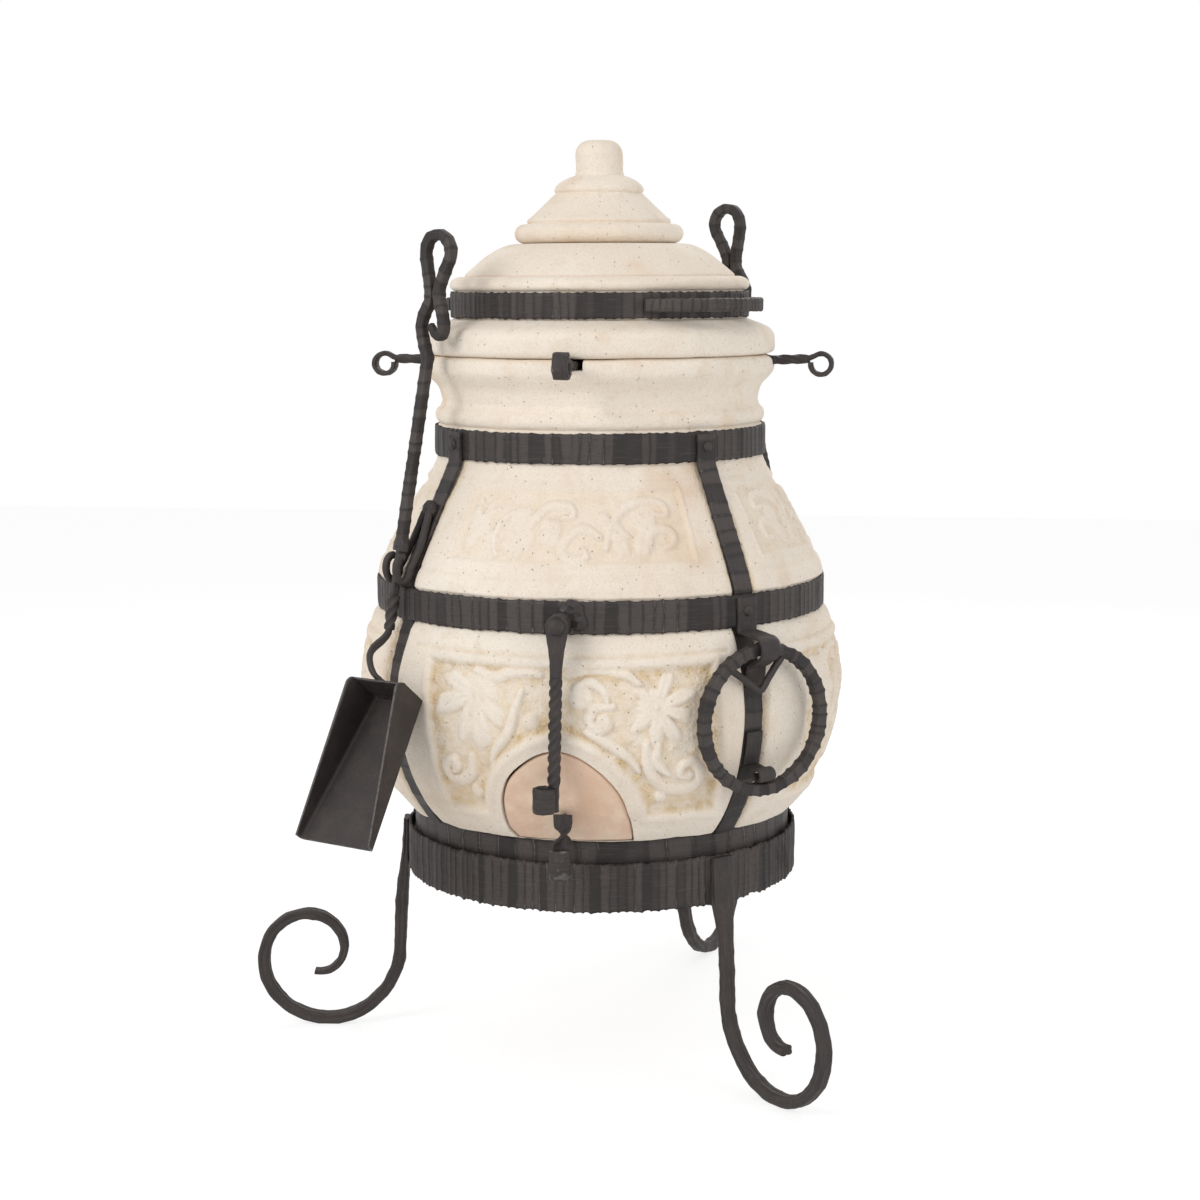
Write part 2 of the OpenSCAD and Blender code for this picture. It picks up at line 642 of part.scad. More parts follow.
// The straight line that a tool's shank, neck and twist share
function tool_at(az, lean, z) = at(az, fork_r - tool_slope * (z - fork_z),
    lean * max(0, z - shoulder_z) / (shovel_top - loop_h), z);
module tool_shank(az, top_up, lean) {
    top_z = fork_z + top_up - loop_h;
    side = cos(loop_turn) * along(az) - sin(loop_turn) * radial(az);
    ref = cos(loop_turn) * radial(az) + sin(loop_turn) * along(az);
    bend_z = fork_z + shovel_top - loop_h;
    top = tool_at(az, lean, bend_z);
    grip_path = [for (p = loop_shape) top + [0, 0, top_z - bend_z + p.y] + p.x * side];
    shank = [for (z = [bend_z - 14, shoulder_z + 16, shoulder_z + 6]) tool_at(az, lean, z)];
    count = len(grip_path) + len(shank);
    color(iron) {
        bar(concat(grip_path, shank),
            [for (i = [0:count - 1]) tool_bar * min(1, 0.6 + 0.08 * i)],
            [for (i = [0:count - 1]) tool_bar * min(1, 0.6 + 0.08 * i)], ref);
        hull() for (s = [[0, shoulder_w, tool_neck], [8, shoulder_w, tool_neck], [18, tool_bar, tool_bar]])
            translate(tool_at(az, lean, shoulder_z + s[0])) rotate([0, 0, az])
                translate([-s[1] / 2, -s[2] / 2, 0]) cube([s[1], s[2], 0.1]);
        bar([tool_at(az, lean, shoulder_z + 1), tool_at(az, lean, neck_low)],
            tool_neck, tool_neck, radial(az));
    }
}
module twisted(az) {
    steps = 14;
    path = [for (i = [0:steps]) tool_at(az, 0, neck_low + 1 - (neck_low + 1 - twist_low) * i / steps)];
    thick = [for (i = [0:steps]) tool_bar + 0.5 - 3 * i / steps];
    bar(path, thick, thick, along(az), [for (i = [0:steps]) 270 * i / steps]);
}

blade_az = -40;
blade_facing = -25;
blade_tilt = 38;
blade_r = bulge_r + 10;
blade_z = bulge_z + 8;
blade_root = blade_r * radial(blade_az) + [0, 0, blade_z];
// Rests of the blade are drawn facing -Y, hanging down from the origin
module on_blade() {
    translate(blade_root) rotate([0, 0, blade_facing]) rotate([-blade_tilt, 0, 0]) children();
}
function blade_point(x, y, z) = let (
        a = [x, y * cos(blade_tilt) + z * sin(blade_tilt), z * cos(blade_tilt) - y * sin(blade_tilt)],
        f = blade_facing)
    blade_root + [a.x * cos(f) - a.y * sin(f), a.x * sin(f) + a.y * cos(f), a.z];
blade_up = blade_point(0, 0, 1) - blade_root;
module shovel_handle() {
    az = -strap_left_az;
    hold = blade_point(0, -blade_wall_h * 0.5, fix_gap);
    bend = [tool_at(az, 0, twist_low + 1), at(az, blade_r - 5, 7, blade_z + 66),
        at(az, blade_r + 21, 20, blade_z + 52), at(az, blade_r + 26, 35, blade_z + 33), hold - 4 * blade_up];
    color(iron) {
        tool_shank(az, shovel_top, 0);
        twisted(az);
        difference() {
            bar(through(bend, 4), 10, 10, along(az), 0, 8);
            on_blade() translate([-blade_back_w / 2, -2 * blade_wall_h, fix_gap - blade_wall_h])
                cube([blade_back_w, 2 * blade_wall_h, blade_wall_h]);
        }
    }
}
module shovel_blade() {
    b = blade_back_w / 2;
    t = blade_tip_w / 2;
    tip_wall = 10;
    corner = blade_wall_h * 0.2;
    slope = (t - b) / blade_len;
    side_t = sheet_t * sqrt(1 + slope * slope);
    beyond = blade_len + 5;
    color(iron) on_blade() difference() {
        intersection() {
            through_front(blade_wall_h) polygon([[-b, 0], [b, 0], [t, -blade_len], [-t, -blade_len]]);
            rotate([90, 0, 90]) linear_extrude(3 * t, center = true) polygon([[0, 0],
                [corner - blade_wall_h, 0], [-blade_wall_h, -corner], [-tip_wall, -blade_len], [0, -blade_len]]);
        }
        translate([0, -sheet_t, 0]) through_front(blade_wall_h) polygon([
            [b + slope * sheet_t - side_t, -sheet_t], [b + slope * beyond - side_t, -beyond],
            [side_t - b - slope * beyond, -beyond], [side_t - b - slope * sheet_t, -sheet_t]]);
    }
}
module poker() {
    az = strap_back_az;
    low_z = base_top + 20;
    path = through([tool_at(az, 0, twist_low + 1), at(az, bulge_r + 6, 0, twist_low - 24),
        at(az, bulge_r + 14, 0, bulge_z + 24), at(az, bulge_r + 16, 0, bulge_z - 40),
        at(az, bulge_r + 14, 0, low_z + 34), at(az, bulge_r + 18, 0, low_z + 12),
        at(az, bulge_r + 36, 0, low_z)], 4);
    color(iron) {
        tool_shank(az, poker_top, poker_lean);
        twisted(az);
        bar(path, [for (i = [0:len(path) - 1]) 11 - 0.25 * i], 10, along(az));
    }
}

// ---------- inside the pot ----------

module grate() {
    z = floor_z + seat_gap;
    slot = 12;
    pitch = 26;
    color(cast) {
        translate([0, 0, z + grate_leg_h]) difference() {
            cylinder(grate_t, grate_r, grate_r, $fn = ROUND);
            for (k = [-4:4]) let (
                y = k * pitch,
                half = sqrt(pow(grate_r - 14, 2) - pow(abs(y) + slot / 2, 2)))
                translate([-half, y - slot / 2, -1]) cube([2 * half, slot, grate_t + 2]);
        }
        for (k = [0:2]) rotate([0, 0, 60 + 120 * k]) translate([grate_r - 10, 0, z])
            cylinder(grate_leg_h + 1, 8, 8, $fn = 32);
    }
}

// ---------- food hanger ----------

hanger_z = rim_z - hanger_h - 2 + seat_gap;
module hanger_end(rise) {
    twist_from = rim_r + 3;
    twist_to = hanger_reach - 2 * hanger_curl_r + 2;
    mid = hanger_z + hanger_h / 2;
    c = [hanger_reach - hanger_curl_r, mid + rise - hanger_curl_r + 9];
    steps = 12;
    path = [for (i = [0:steps])
        [twist_from + (twist_to - twist_from) * i / steps, 0, mid + rise * i / steps]];
    bar(path, hanger_h, 8, [0, 1, 0], [for (i = [0:steps]) 90 + 180 * i / steps]);
    rotate([90, 0, 0]) linear_extrude(hanger_curl_w, center = true) polygon(strip(
        concat([[twist_to - 1, mid + rise]], tail(arc(c, hanger_curl_r - 3, 130, -190, 16))), 3, 3));
}
module hanger_bar(az, slot_up, rise) {
    color(iron) rotate([0, 0, az]) difference() {
        union() {
            translate([-rim_r - 4, -hanger_w / 2, hanger_z]) cube([2 * rim_r + 8, hanger_w, hanger_h]);
            for (a = [0, 180]) rotate([0, 0, a]) hanger_end(rise);
        }
        slot_z = hanger_z + (slot_up ? hanger_h / 2 - fix_gap / 2 : -1);
        translate([-hanger_w / 2 - fix_gap, -hanger_w, slot_z])
            cube([hanger_w + 2 * fix_gap, 2 * hanger_w, hanger_h / 2 + 1 + fix_gap / 2]);
        translate([0, 0, hanger_z - 1]) cylinder(hanger_h + 2, 3 + fix_gap, 3 + fix_gap, $fn = 24);
    }
}
module hanger_bar_side() hanger_bar(0, true, 1);
module hanger_bar_front() hanger_bar(90, false, 8);
module hanger_rivet() {
    color(iron) {
        translate([0, 0, hanger_z - 3 - fix_gap]) cylinder(3, 5, 6, $fn = 24);
        translate([0, 0, hanger_z - 1 - fix_gap]) cylinder(hanger_h - 1, 3, 3, $fn = 24);
    }
}

// ---------- lid and cap ----------

lid_band_z = lid_z + 43;
lid_outside = concat(
    [[lid_r - 3, lid_z], [lid_r, lid_z + 5], [lid_r, lid_z + 18]],
    bez([lid_r - 1, lid_z + 24], [lid_r - 5, lid_z + 34],
        [lid_seat_r + 14, lid_z + 37], [lid_seat_r - 1, lid_z + 42], 4),
    [[lid_seat_r, lid_band_z - 0.5], [lid_seat_r, lid_band_z + lid_band_h + 0.5],
        [lid_seat_r - 2, lid_band_z + lid_band_h + 2]],
    arc([lid_seat_r - 5, lid_band_z + lid_band_h + 8], 6, -50, 80, 4),
    [[lid_seat_r - 9, lid_band_z + lid_band_h + 16]],
    bez([lid_seat_r - 11, lid_band_z + lid_band_h + 19], [lid_seat_r - 28, lid_band_z + lid_band_h + 32],
        [cap_r + 30, lid_top - 14], [cap_r + 6, lid_top - 1], 5),
    [[cap_r + 2, lid_top]]);
module lid_body() {
    inside = [[lid_hole_r, lid_top], [lid_hole_r, lid_top - 30],
        [lid_seat_r - 40, lid_band_z + lid_band_h - 4], [lid_seat_r - 26, lid_band_z], [lid_r - wall, lid_z]];
    color(clay) rotate_extrude($fn = ROUND) polygon(concat(lid_outside, inside));
}
module lid_band() color(iron) hoop(lid_seat_r + fix_gap, lid_band_ro, lid_band_z, lid_band_h);

module lid_handle(az) {
    half_span = 30;
    shoulder = 15;
    from_band = lid_band_ro + fix_gap + 0.2;
    rise = function (a) let (k = min(1, max(0, (half_span - abs(a)) / (half_span - shoulder))))
        grip_space * k * k * (3 - 2 * k);
    inner = [for (a = [-half_span:2:half_span]) (from_band + rise(a)) * [cos(a), sin(a)]];
    outer = [for (a = [half_span:-2:-half_span]) (from_band + rise(a) + lid_grip_t) * [cos(a), sin(a)]];
    color(iron) rotate([0, 0, az - 90]) translate([0, 0, lid_band_z + (lid_band_h - lid_grip_h) / 2])
        linear_extrude(lid_grip_h) polygon(concat(inner, outer));
}
module lid_handle_right() lid_handle(lid_grip_az);
module lid_handle_left() lid_handle(lid_grip_az + 180);

module cap() {
    z = cap_z;
    step_r = knob_r + 24;
    knob_z = z + 78;
    outside = concat(
        [[0, z - 12], [lid_hole_r - 7, z - 12], [lid_hole_r - 5, z - 9], [lid_hole_r - 5, z], [cap_r - 9, z]],
        arc([cap_r - 9.5, z + 10.5], 9.5, -60, 60, 5),
        [[cap_r - 9, z + 23], [cap_r - 10, z + 26]],
        [[step_r + 2, z + 57], [step_r + 1, z + 62]],
        bez([step_r - 3, z + 65], [step_r - 10, z + 71], [knob_r + 8, z + 74], [knob_r + 1, knob_z], 3),
        [[knob_r, knob_z + 4]],
        arc([knob_r - 16, z + cap_h - 16], 16, 0, 90, 5),
        [[0, z + cap_h]]);
    color(clay) rotate_extrude($fn = ROUND) polygon(outside);
}

stand_ring();
leg_right();
leg_left();
leg_back();
pot_rest();
pot_body();
neck_band();
belly_band();
base_band();
strap_front_left();
strap_front_right();
strap_back_left();
strap_back_right();
band_rivets();
latch_stud();
shovel_hanger();
poker_hanger();
ring_bracket_right();
ring_bracket_left();
ring_rest_right();
ring_rest_left();
latch_bar();
plug();
plug_handle();
ring_handle_right();
ring_handle_left();
shovel_handle();
shovel_blade();
poker();
grate();
hanger_bar_side();
hanger_bar_front();
hanger_rivet();
lid_body();
lid_band();
lid_handle_right();
lid_handle_left();
cap();
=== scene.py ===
"""Looks of a clay tandoor oven in forged iron straps on a scroll-legged stand.

Everything is in metres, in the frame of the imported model: origin on the floor under the pot's
axis, +Z up, blow hole facing -Y. An azimuth is counted from -Y towards +X, in degrees.
"""

import math

import bmesh
import bpy
import numpy as np
from mathutils import Matrix, Vector


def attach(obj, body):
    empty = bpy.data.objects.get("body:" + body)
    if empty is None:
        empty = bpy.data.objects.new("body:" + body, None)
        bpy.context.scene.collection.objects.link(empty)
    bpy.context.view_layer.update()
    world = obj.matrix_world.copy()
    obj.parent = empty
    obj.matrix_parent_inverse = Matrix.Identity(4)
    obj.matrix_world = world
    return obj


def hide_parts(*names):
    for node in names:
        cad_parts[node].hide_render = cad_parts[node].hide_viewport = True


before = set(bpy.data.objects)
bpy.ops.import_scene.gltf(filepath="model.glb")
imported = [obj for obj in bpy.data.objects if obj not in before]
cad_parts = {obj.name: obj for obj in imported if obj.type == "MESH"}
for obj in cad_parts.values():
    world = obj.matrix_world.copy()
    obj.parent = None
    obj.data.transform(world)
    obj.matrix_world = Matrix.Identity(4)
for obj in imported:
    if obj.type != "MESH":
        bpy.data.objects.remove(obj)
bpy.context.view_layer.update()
MM = 0.001


# ---------- node trees ----------

class Value:
    """A socket of a node tree. Arithmetic on it adds Math nodes."""

    def __init__(self, tree, socket):
        self.tree = tree
        self.socket = socket

    def math(self, operation, *others):
        return self.tree.add("ShaderNodeMath", {"operation": operation}, dict(enumerate((self, *others))))

    def __add__(self, other):
        return self.math("ADD", other)

    def __sub__(self, other):
        return self.math("SUBTRACT", other)

    def __rsub__(self, other):
        return self.tree.add("ShaderNodeMath", {"operation": "SUBTRACT"}, {0: other, 1: self})

    def __mul__(self, other):
        return self.math("MULTIPLY", other)

    def __truediv__(self, other):
        return self.math("DIVIDE", other)

    __radd__ = __add__
    __rmul__ = __mul__

    def absolute(self):
        return self.math("ABSOLUTE")

    def ramp(self, low, high):
        """0 below low, 1 above high, smooth between."""
        return self.tree.add("ShaderNodeMapRange", {"interpolation_type": "SMOOTHSTEP"},
                             {"Value": self, "From Min": low, "From Max": high})

    def out(self, name):
        """Another output of the node that this one comes from."""
        return Value(self.tree, self.socket.node.outputs[name])


class Tree:
    """Adds nodes to a shader tree or a geometry tree."""

    def __init__(self, nodes):
        self.nodes = nodes

    def add(self, kind, settings=None, inputs=None, out=0):
        node = self.nodes.nodes.new(kind)
        for name, value in (settings or {}).items():
            setattr(node, name, value)
        for key, value in (inputs or {}).items():
            self.feed(node.inputs[key], value)
        return Value(self, node.outputs[out]) if node.outputs else node

    def feed(self, socket, value):
        if isinstance(value, Value):
            self.nodes.links.new(value.socket, socket)
        else:
            socket.default_value = value

    def vector(self, operation, a, b=None, scale=None, out=0):
        inputs = {0: a}
        if b is not None:
            inputs[1] = b
        if scale is not None:
            inputs["Scale"] = scale
        return self.add("ShaderNodeVectorMath", {"operation": operation}, inputs, out)

    def combine(self, x, y, z):
        return self.add("ShaderNodeCombineXYZ", None, {0: x, 1: y, 2: z})

    def noise(self, place, scale, detail=2.0, rough=0.5):
        return self.add("ShaderNodeTexNoise", None,
                        {"Vector": place, "Scale": scale, "Detail": detail, "Roughness": rough})

    def cells(self, place, scale, randomness=1.0):
        return self.add("ShaderNodeTexVoronoi", None,
                        {"Vector": place, "Scale": scale, "Randomness": randomness})

    def lengths_of(self, walked, feature):
        """Uneven lengths along a number; distances to a length's middle or to its nearest end."""
        return self.add("ShaderNodeTexVoronoi", {"voronoi_dimensions": "1D", "feature": feature},
                        {"W": walked, "Scale": 1.0, "Randomness": 0.75})

    def blend(self, amount, a, b):
        """A colour mixed from a to b."""
        return self.add("ShaderNodeMix", {"data_type": "RGBA"}, {0: amount, 6: a, 7: b}, out=2)

    def stored(self, name, kind="FLOAT"):
        """What the geometry carries under a name."""
        return self.add("GeometryNodeInputNamedAttribute", {"data_type": kind}, {"Name": name})

    def keep(self, geometry, name, value, kind="FLOAT"):
        """The geometry with a value stored on its points."""
        return self.add("GeometryNodeStoreNamedAttribute", {"data_type": kind, "domain": "POINT"},
                        {"Geometry": geometry, "Name": name, "Value": value})

    def forget(self, geometry, *names):
        for name in names:
            geometry = self.add("GeometryNodeRemoveAttribute", None, {"Geometry": geometry, "Name": name})
        return geometry


# ---------- materials ----------

def linear(red, green, blue):
    """A colour given as it looks on a screen, 0 to 255."""
    return tuple(((c / 255 + 0.055) / 1.055) ** 2.4 for c in (red, green, blue)) + (1.0,)


def surface(name, make, **constants):
    """A material whose colour, roughness and bump come from make(tree, place)."""
    material = bpy.data.materials.new(name)
    material.use_nodes = True
    tree = Tree(material.node_tree)
    shader = material.node_tree.nodes["Principled BSDF"]
    place = tree.add("ShaderNodeTexCoord", out="Object")
    colour, rough, height, depth = make(tree, place)
    tree.feed(shader.inputs["Base Color"], colour)
    tree.feed(shader.inputs["Roughness"], rough)
    bump = tree.add("ShaderNodeBump", None, {"Strength": 1.0, "Distance": depth, "Height": height})
    tree.feed(shader.inputs["Normal"], bump)
    for socket, value in constants.items():
        shader.inputs[socket.replace("_", " ")].default_value = value
    return material


def marked(tree, name):
    """A number stored on the piece's points."""
    return tree.add("ShaderNodeAttribute", {"attribute_name": name}, out="Fac")


def fired_clay(tree, place):
    """Pale fired clay: mottled cream, fine pits, ochre ground in the pressed relief."""
    recess = marked(tree, "recess")
    broad = tree.noise(place, 5.5, 3.0)
    patchy = tree.noise(place, 38, 4.0, 0.6)
    grain = tree.noise(place, 420, 3.0, 0.6)
    cream = tree.blend(broad.ramp(0.35, 0.68), linear(243, 233, 219), linear(237, 223, 206))
    cream = tree.blend(patchy.ramp(0.5, 0.75) * 0.5, cream, linear(227, 208, 186))
    cream = tree.blend(grain.ramp(0.48, 0.7) * 0.45, cream, linear(219, 200, 177))
    scorch = tree.noise(place, 8, 3.0, 0.6)
    cream = tree.blend(scorch.ramp(0.56, 0.76) * 0.6, cream, linear(222, 193, 163))
    ochre = tree.blend(patchy.ramp(0.3, 0.7), linear(230, 207, 168), linear(213, 182, 134))
    pebble = tree.cells(place, 330)
    stain = recess * (0.35 + 0.65 * tree.noise(place, 70, 2.0).ramp(0.36, 0.62))
    colour = tree.blend(stain, cream, ochre)
    pit = tree.cells(place, 170)
    pit_is = pit.out("Color").ramp(0.66, 0.7) * (1 - pit.ramp(0.06, 0.17))
    chip = tree.cells(place, 45)
    chip_is = chip.out("Color").ramp(0.84, 0.86) * (1 - chip.ramp(0.03, 0.06))
    colour = tree.blend(pit_is * 0.75, colour, linear(150, 118, 90))
    colour = tree.blend(chip_is * 0.85, colour, linear(112, 86, 68))
    height = (0.8 * grain + 0.7 * tree.noise(place, 130, 3.0) - 1.4 * pit_is - 1.7 * chip_is
              + recess * (1.0 - 2.0 * pebble))
    rough = 0.86 + 0.1 * grain
    return colour, rough, height, 0.0008


def bare_terracotta(tree, place):
    """The plug: pinkish unglazed clay with paler blotches."""
    blotch = tree.noise(place, 24, 4.0, 0.6)
    grain = tree.noise(place, 480, 2.0)
    smear = tree.noise(place, 9, 2.0)
    colour = tree.blend(blotch.ramp(0.38, 0.66), linear(228, 195, 170), linear(238, 214, 190))
    colour = tree.blend(smear.ramp(0.5, 0.7) * 0.5, colour, linear(216, 180, 150))
    speck = tree.cells(place, 170)
    speck_is = speck.out("Color").ramp(0.78, 0.82) * (1 - speck.ramp(0.06, 0.14))
    colour = tree.blend(speck_is * 0.5, colour, linear(150, 112, 88))
    return colour, 0.84 + 0.1 * blotch, 0.6 * grain + 0.5 * blotch - speck_is, 0.0005


def forged_iron(tree, place):
    """Dark painted iron: streaks along the bar, a tone for each stroke, painted shade in the grooves between
    strokes, painted highlights on ridges, edges and hammer facets, and spots worn lighter by rubbing.
    """
    wear = marked(tree, "wear")
    stroke = marked(tree, "stroke")
    grain = tree.add("ShaderNodeAttribute", {"attribute_name": "grain"}, out="Vector")
    streak = tree.noise(grain, 1.0, 3.0, 0.6)
    cloud = tree.noise(place, 26, 4.0, 0.6)
    scale = tree.noise(place, 190, 4.0, 0.65)
    fine = tree.noise(place, 700, 2.0)
    colour = tree.blend(cloud.ramp(0.35, 0.68), linear(54, 49, 48), linear(68, 61, 58))
    # lighter where a stroke's random tone is high, less so towards its ends, which join the painted shade
    # below
    colour = tree.blend(stroke * 0.8, colour, linear(80, 73, 70))
    # painted shade: darkens the grooves between strokes, and strokes of a low random tone
    hollow = (1 - stroke.ramp(0.0, 0.4)) * stroke.ramp(0.0, 0.001)
    colour = tree.blend(hollow * 0.75, colour, linear(40, 36, 36))
    colour = tree.blend(scale.ramp(0.5, 0.72) * 0.4, colour, linear(45, 41, 41))
    colour = tree.blend(streak.ramp(0.52, 0.74) * 0.4, colour, linear(92, 85, 81))
    colour = tree.blend((1 - streak.ramp(0.28, 0.44)) * 0.45, colour, linear(38, 34, 34))
    # painted highlights on bar edges, ridges and lump facets, plus real rubbing where a piece asks for it;
    # lighter and glossier
    lit_and_rubbed = (wear * (0.3 + 0.95 * scale)).ramp(0.42, 0.72)
    colour = tree.blend(lit_and_rubbed * 0.55, colour, linear(118, 113, 110))
    rough = 0.5 + 0.22 * cloud - 0.12 * lit_and_rubbed
    height = 0.6 * scale + 0.25 * fine + 0.5 * tree.noise(place, 60, 2.0) + 0.7 * streak
    return colour, rough, height, 0.0006


def cast_iron(tree, place):
    """The grate: raw sand-cast iron."""
    sand = tree.noise(place, 520, 3.0, 0.7)
    cloud = tree.noise(place, 30, 3.0)
    colour = tree.blend(cloud.ramp(0.35, 0.65), linear(46, 44, 43), linear(64, 56, 52))
    return colour, 0.62 + 0.2 * sand, sand, 0.0008


CLAY = surface("fired clay", fired_clay)
TERRACOTTA = surface("bare terracotta", bare_terracotta)
IRON = surface("forged iron", forged_iron, Metallic=0.25, Specular_IOR_Level=0.45)
GRATE_IRON = surface("cast iron", cast_iron, Metallic=0.3)


# ---------- pieces ----------

def make_mesh(name, points, faces, marks=None):
    mesh = bpy.data.meshes.new(name)
    mesh.from_pydata(np.asarray(points, float).tolist(), [], [tuple(int(i) for i in f) for f in faces])
    for mark, values in (marks or {}).items():
        mesh.attributes.new(mark, "FLOAT", "POINT").data.foreach_set("value", np.asarray(values, np.float32))
    return mesh


def add_object(name, mesh):
    thing = bpy.data.objects.new(name, mesh)
    bpy.context.scene.collection.objects.link(thing)
    return thing


def settle(thing, body, material, *nodes, smooth=True):
    """Gives a finished piece its finish, the body it rides on and the nodes it stands for."""
    thing.data.materials.clear()
    thing.data.materials.append(material)
    thing.data.polygons.foreach_set("use_smooth", [smooth] * len(thing.data.polygons))
    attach(thing, body)
    if nodes:
        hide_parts(*nodes)
    return thing


def evaluated(thing):
    """The piece as its modifiers leave it, as a plain mesh."""
    bpy.context.view_layer.update()
    graph = bpy.context.evaluated_depsgraph_get()
    mesh = bpy.data.meshes.new_from_object(thing.evaluated_get(graph), depsgraph=graph)
    mesh.name = thing.name
    thing.modifiers.clear()
    old = thing.data
    thing.data = mesh
    bpy.data.meshes.remove(old)
    return thing


# ---------- curves ----------

def radial(az):
    return np.array([math.sin(math.radians(az)), -math.cos(math.radians(az)), 0.0])


def along(az):
    return np.array([math.cos(math.radians(az)), math.sin(math.radians(az)), 0.0])


UP = np.array([0.0, 0.0, 1.0])


def at(az, r, side, z):
    """A point r out and side along from the meridian at az, from millimetres."""
    return (r * radial(az) + side * along(az) + z * UP) * MM


def bezier(a, b, c, d, n):
    t = np.linspace(0, 1, n + 1)[:, None]
    u = 1 - t
    return u ** 3 * np.array(a, float) + 3 * u * u * t * np.array(b, float) \
        + 3 * u * t * t * np.array(c, float) + t ** 3 * np.array(d, float)


def arc(centre, r, a0, a1, n):
    a = np.radians(np.linspace(a0, a1, n + 1))
    return np.array(centre, float) + r * np.stack([np.cos(a), np.sin(a)], 1)


def through(points, n=6):
    """A smooth curve through a few points."""
    p = np.array(points, float)
    p = np.concatenate([p[:1], p, p[-1:]])
    t = np.linspace(0, 1, n, endpoint=False)[:, None]
    spans = [0.5 * (2 * b + (c - a) * t + (2 * a - 5 * b + 4 * c - d) * t ** 2
                    + (3 * b - a - 3 * c + d) * t ** 3)
             for a, b, c, d in zip(p, p[1:], p[2:], p[3:])]
    return np.concatenate(spans + [p[-1:]])


def evenly(path, step, *followers):
    """The path with points step apart, and numbers that follow it."""
    path = np.array(path, float)
    walked = np.concatenate([[0], np.cumsum(np.linalg.norm(np.diff(path, axis=0), axis=1))])
    places = np.linspace(0, walked[-1], max(3, int(round(walked[-1] / step)) + 1))
    new = np.stack([np.interp(places, walked, path[:, k]) for k in range(path.shape[1])], 1)
    if not followers:
        return new
    return (new, *[np.interp(places, walked, np.broadcast_to(f, walked.shape)) for f in followers])


# ---------- forged bars: one geometry tree for every bar, strap and hoop ----------

def socket_in(tree, name, kind, default=None):
    item = tree.interface.new_socket(name, in_out="INPUT", socket_type=kind)
    if default is not None:
        item.default_value = default
    return item.identifier


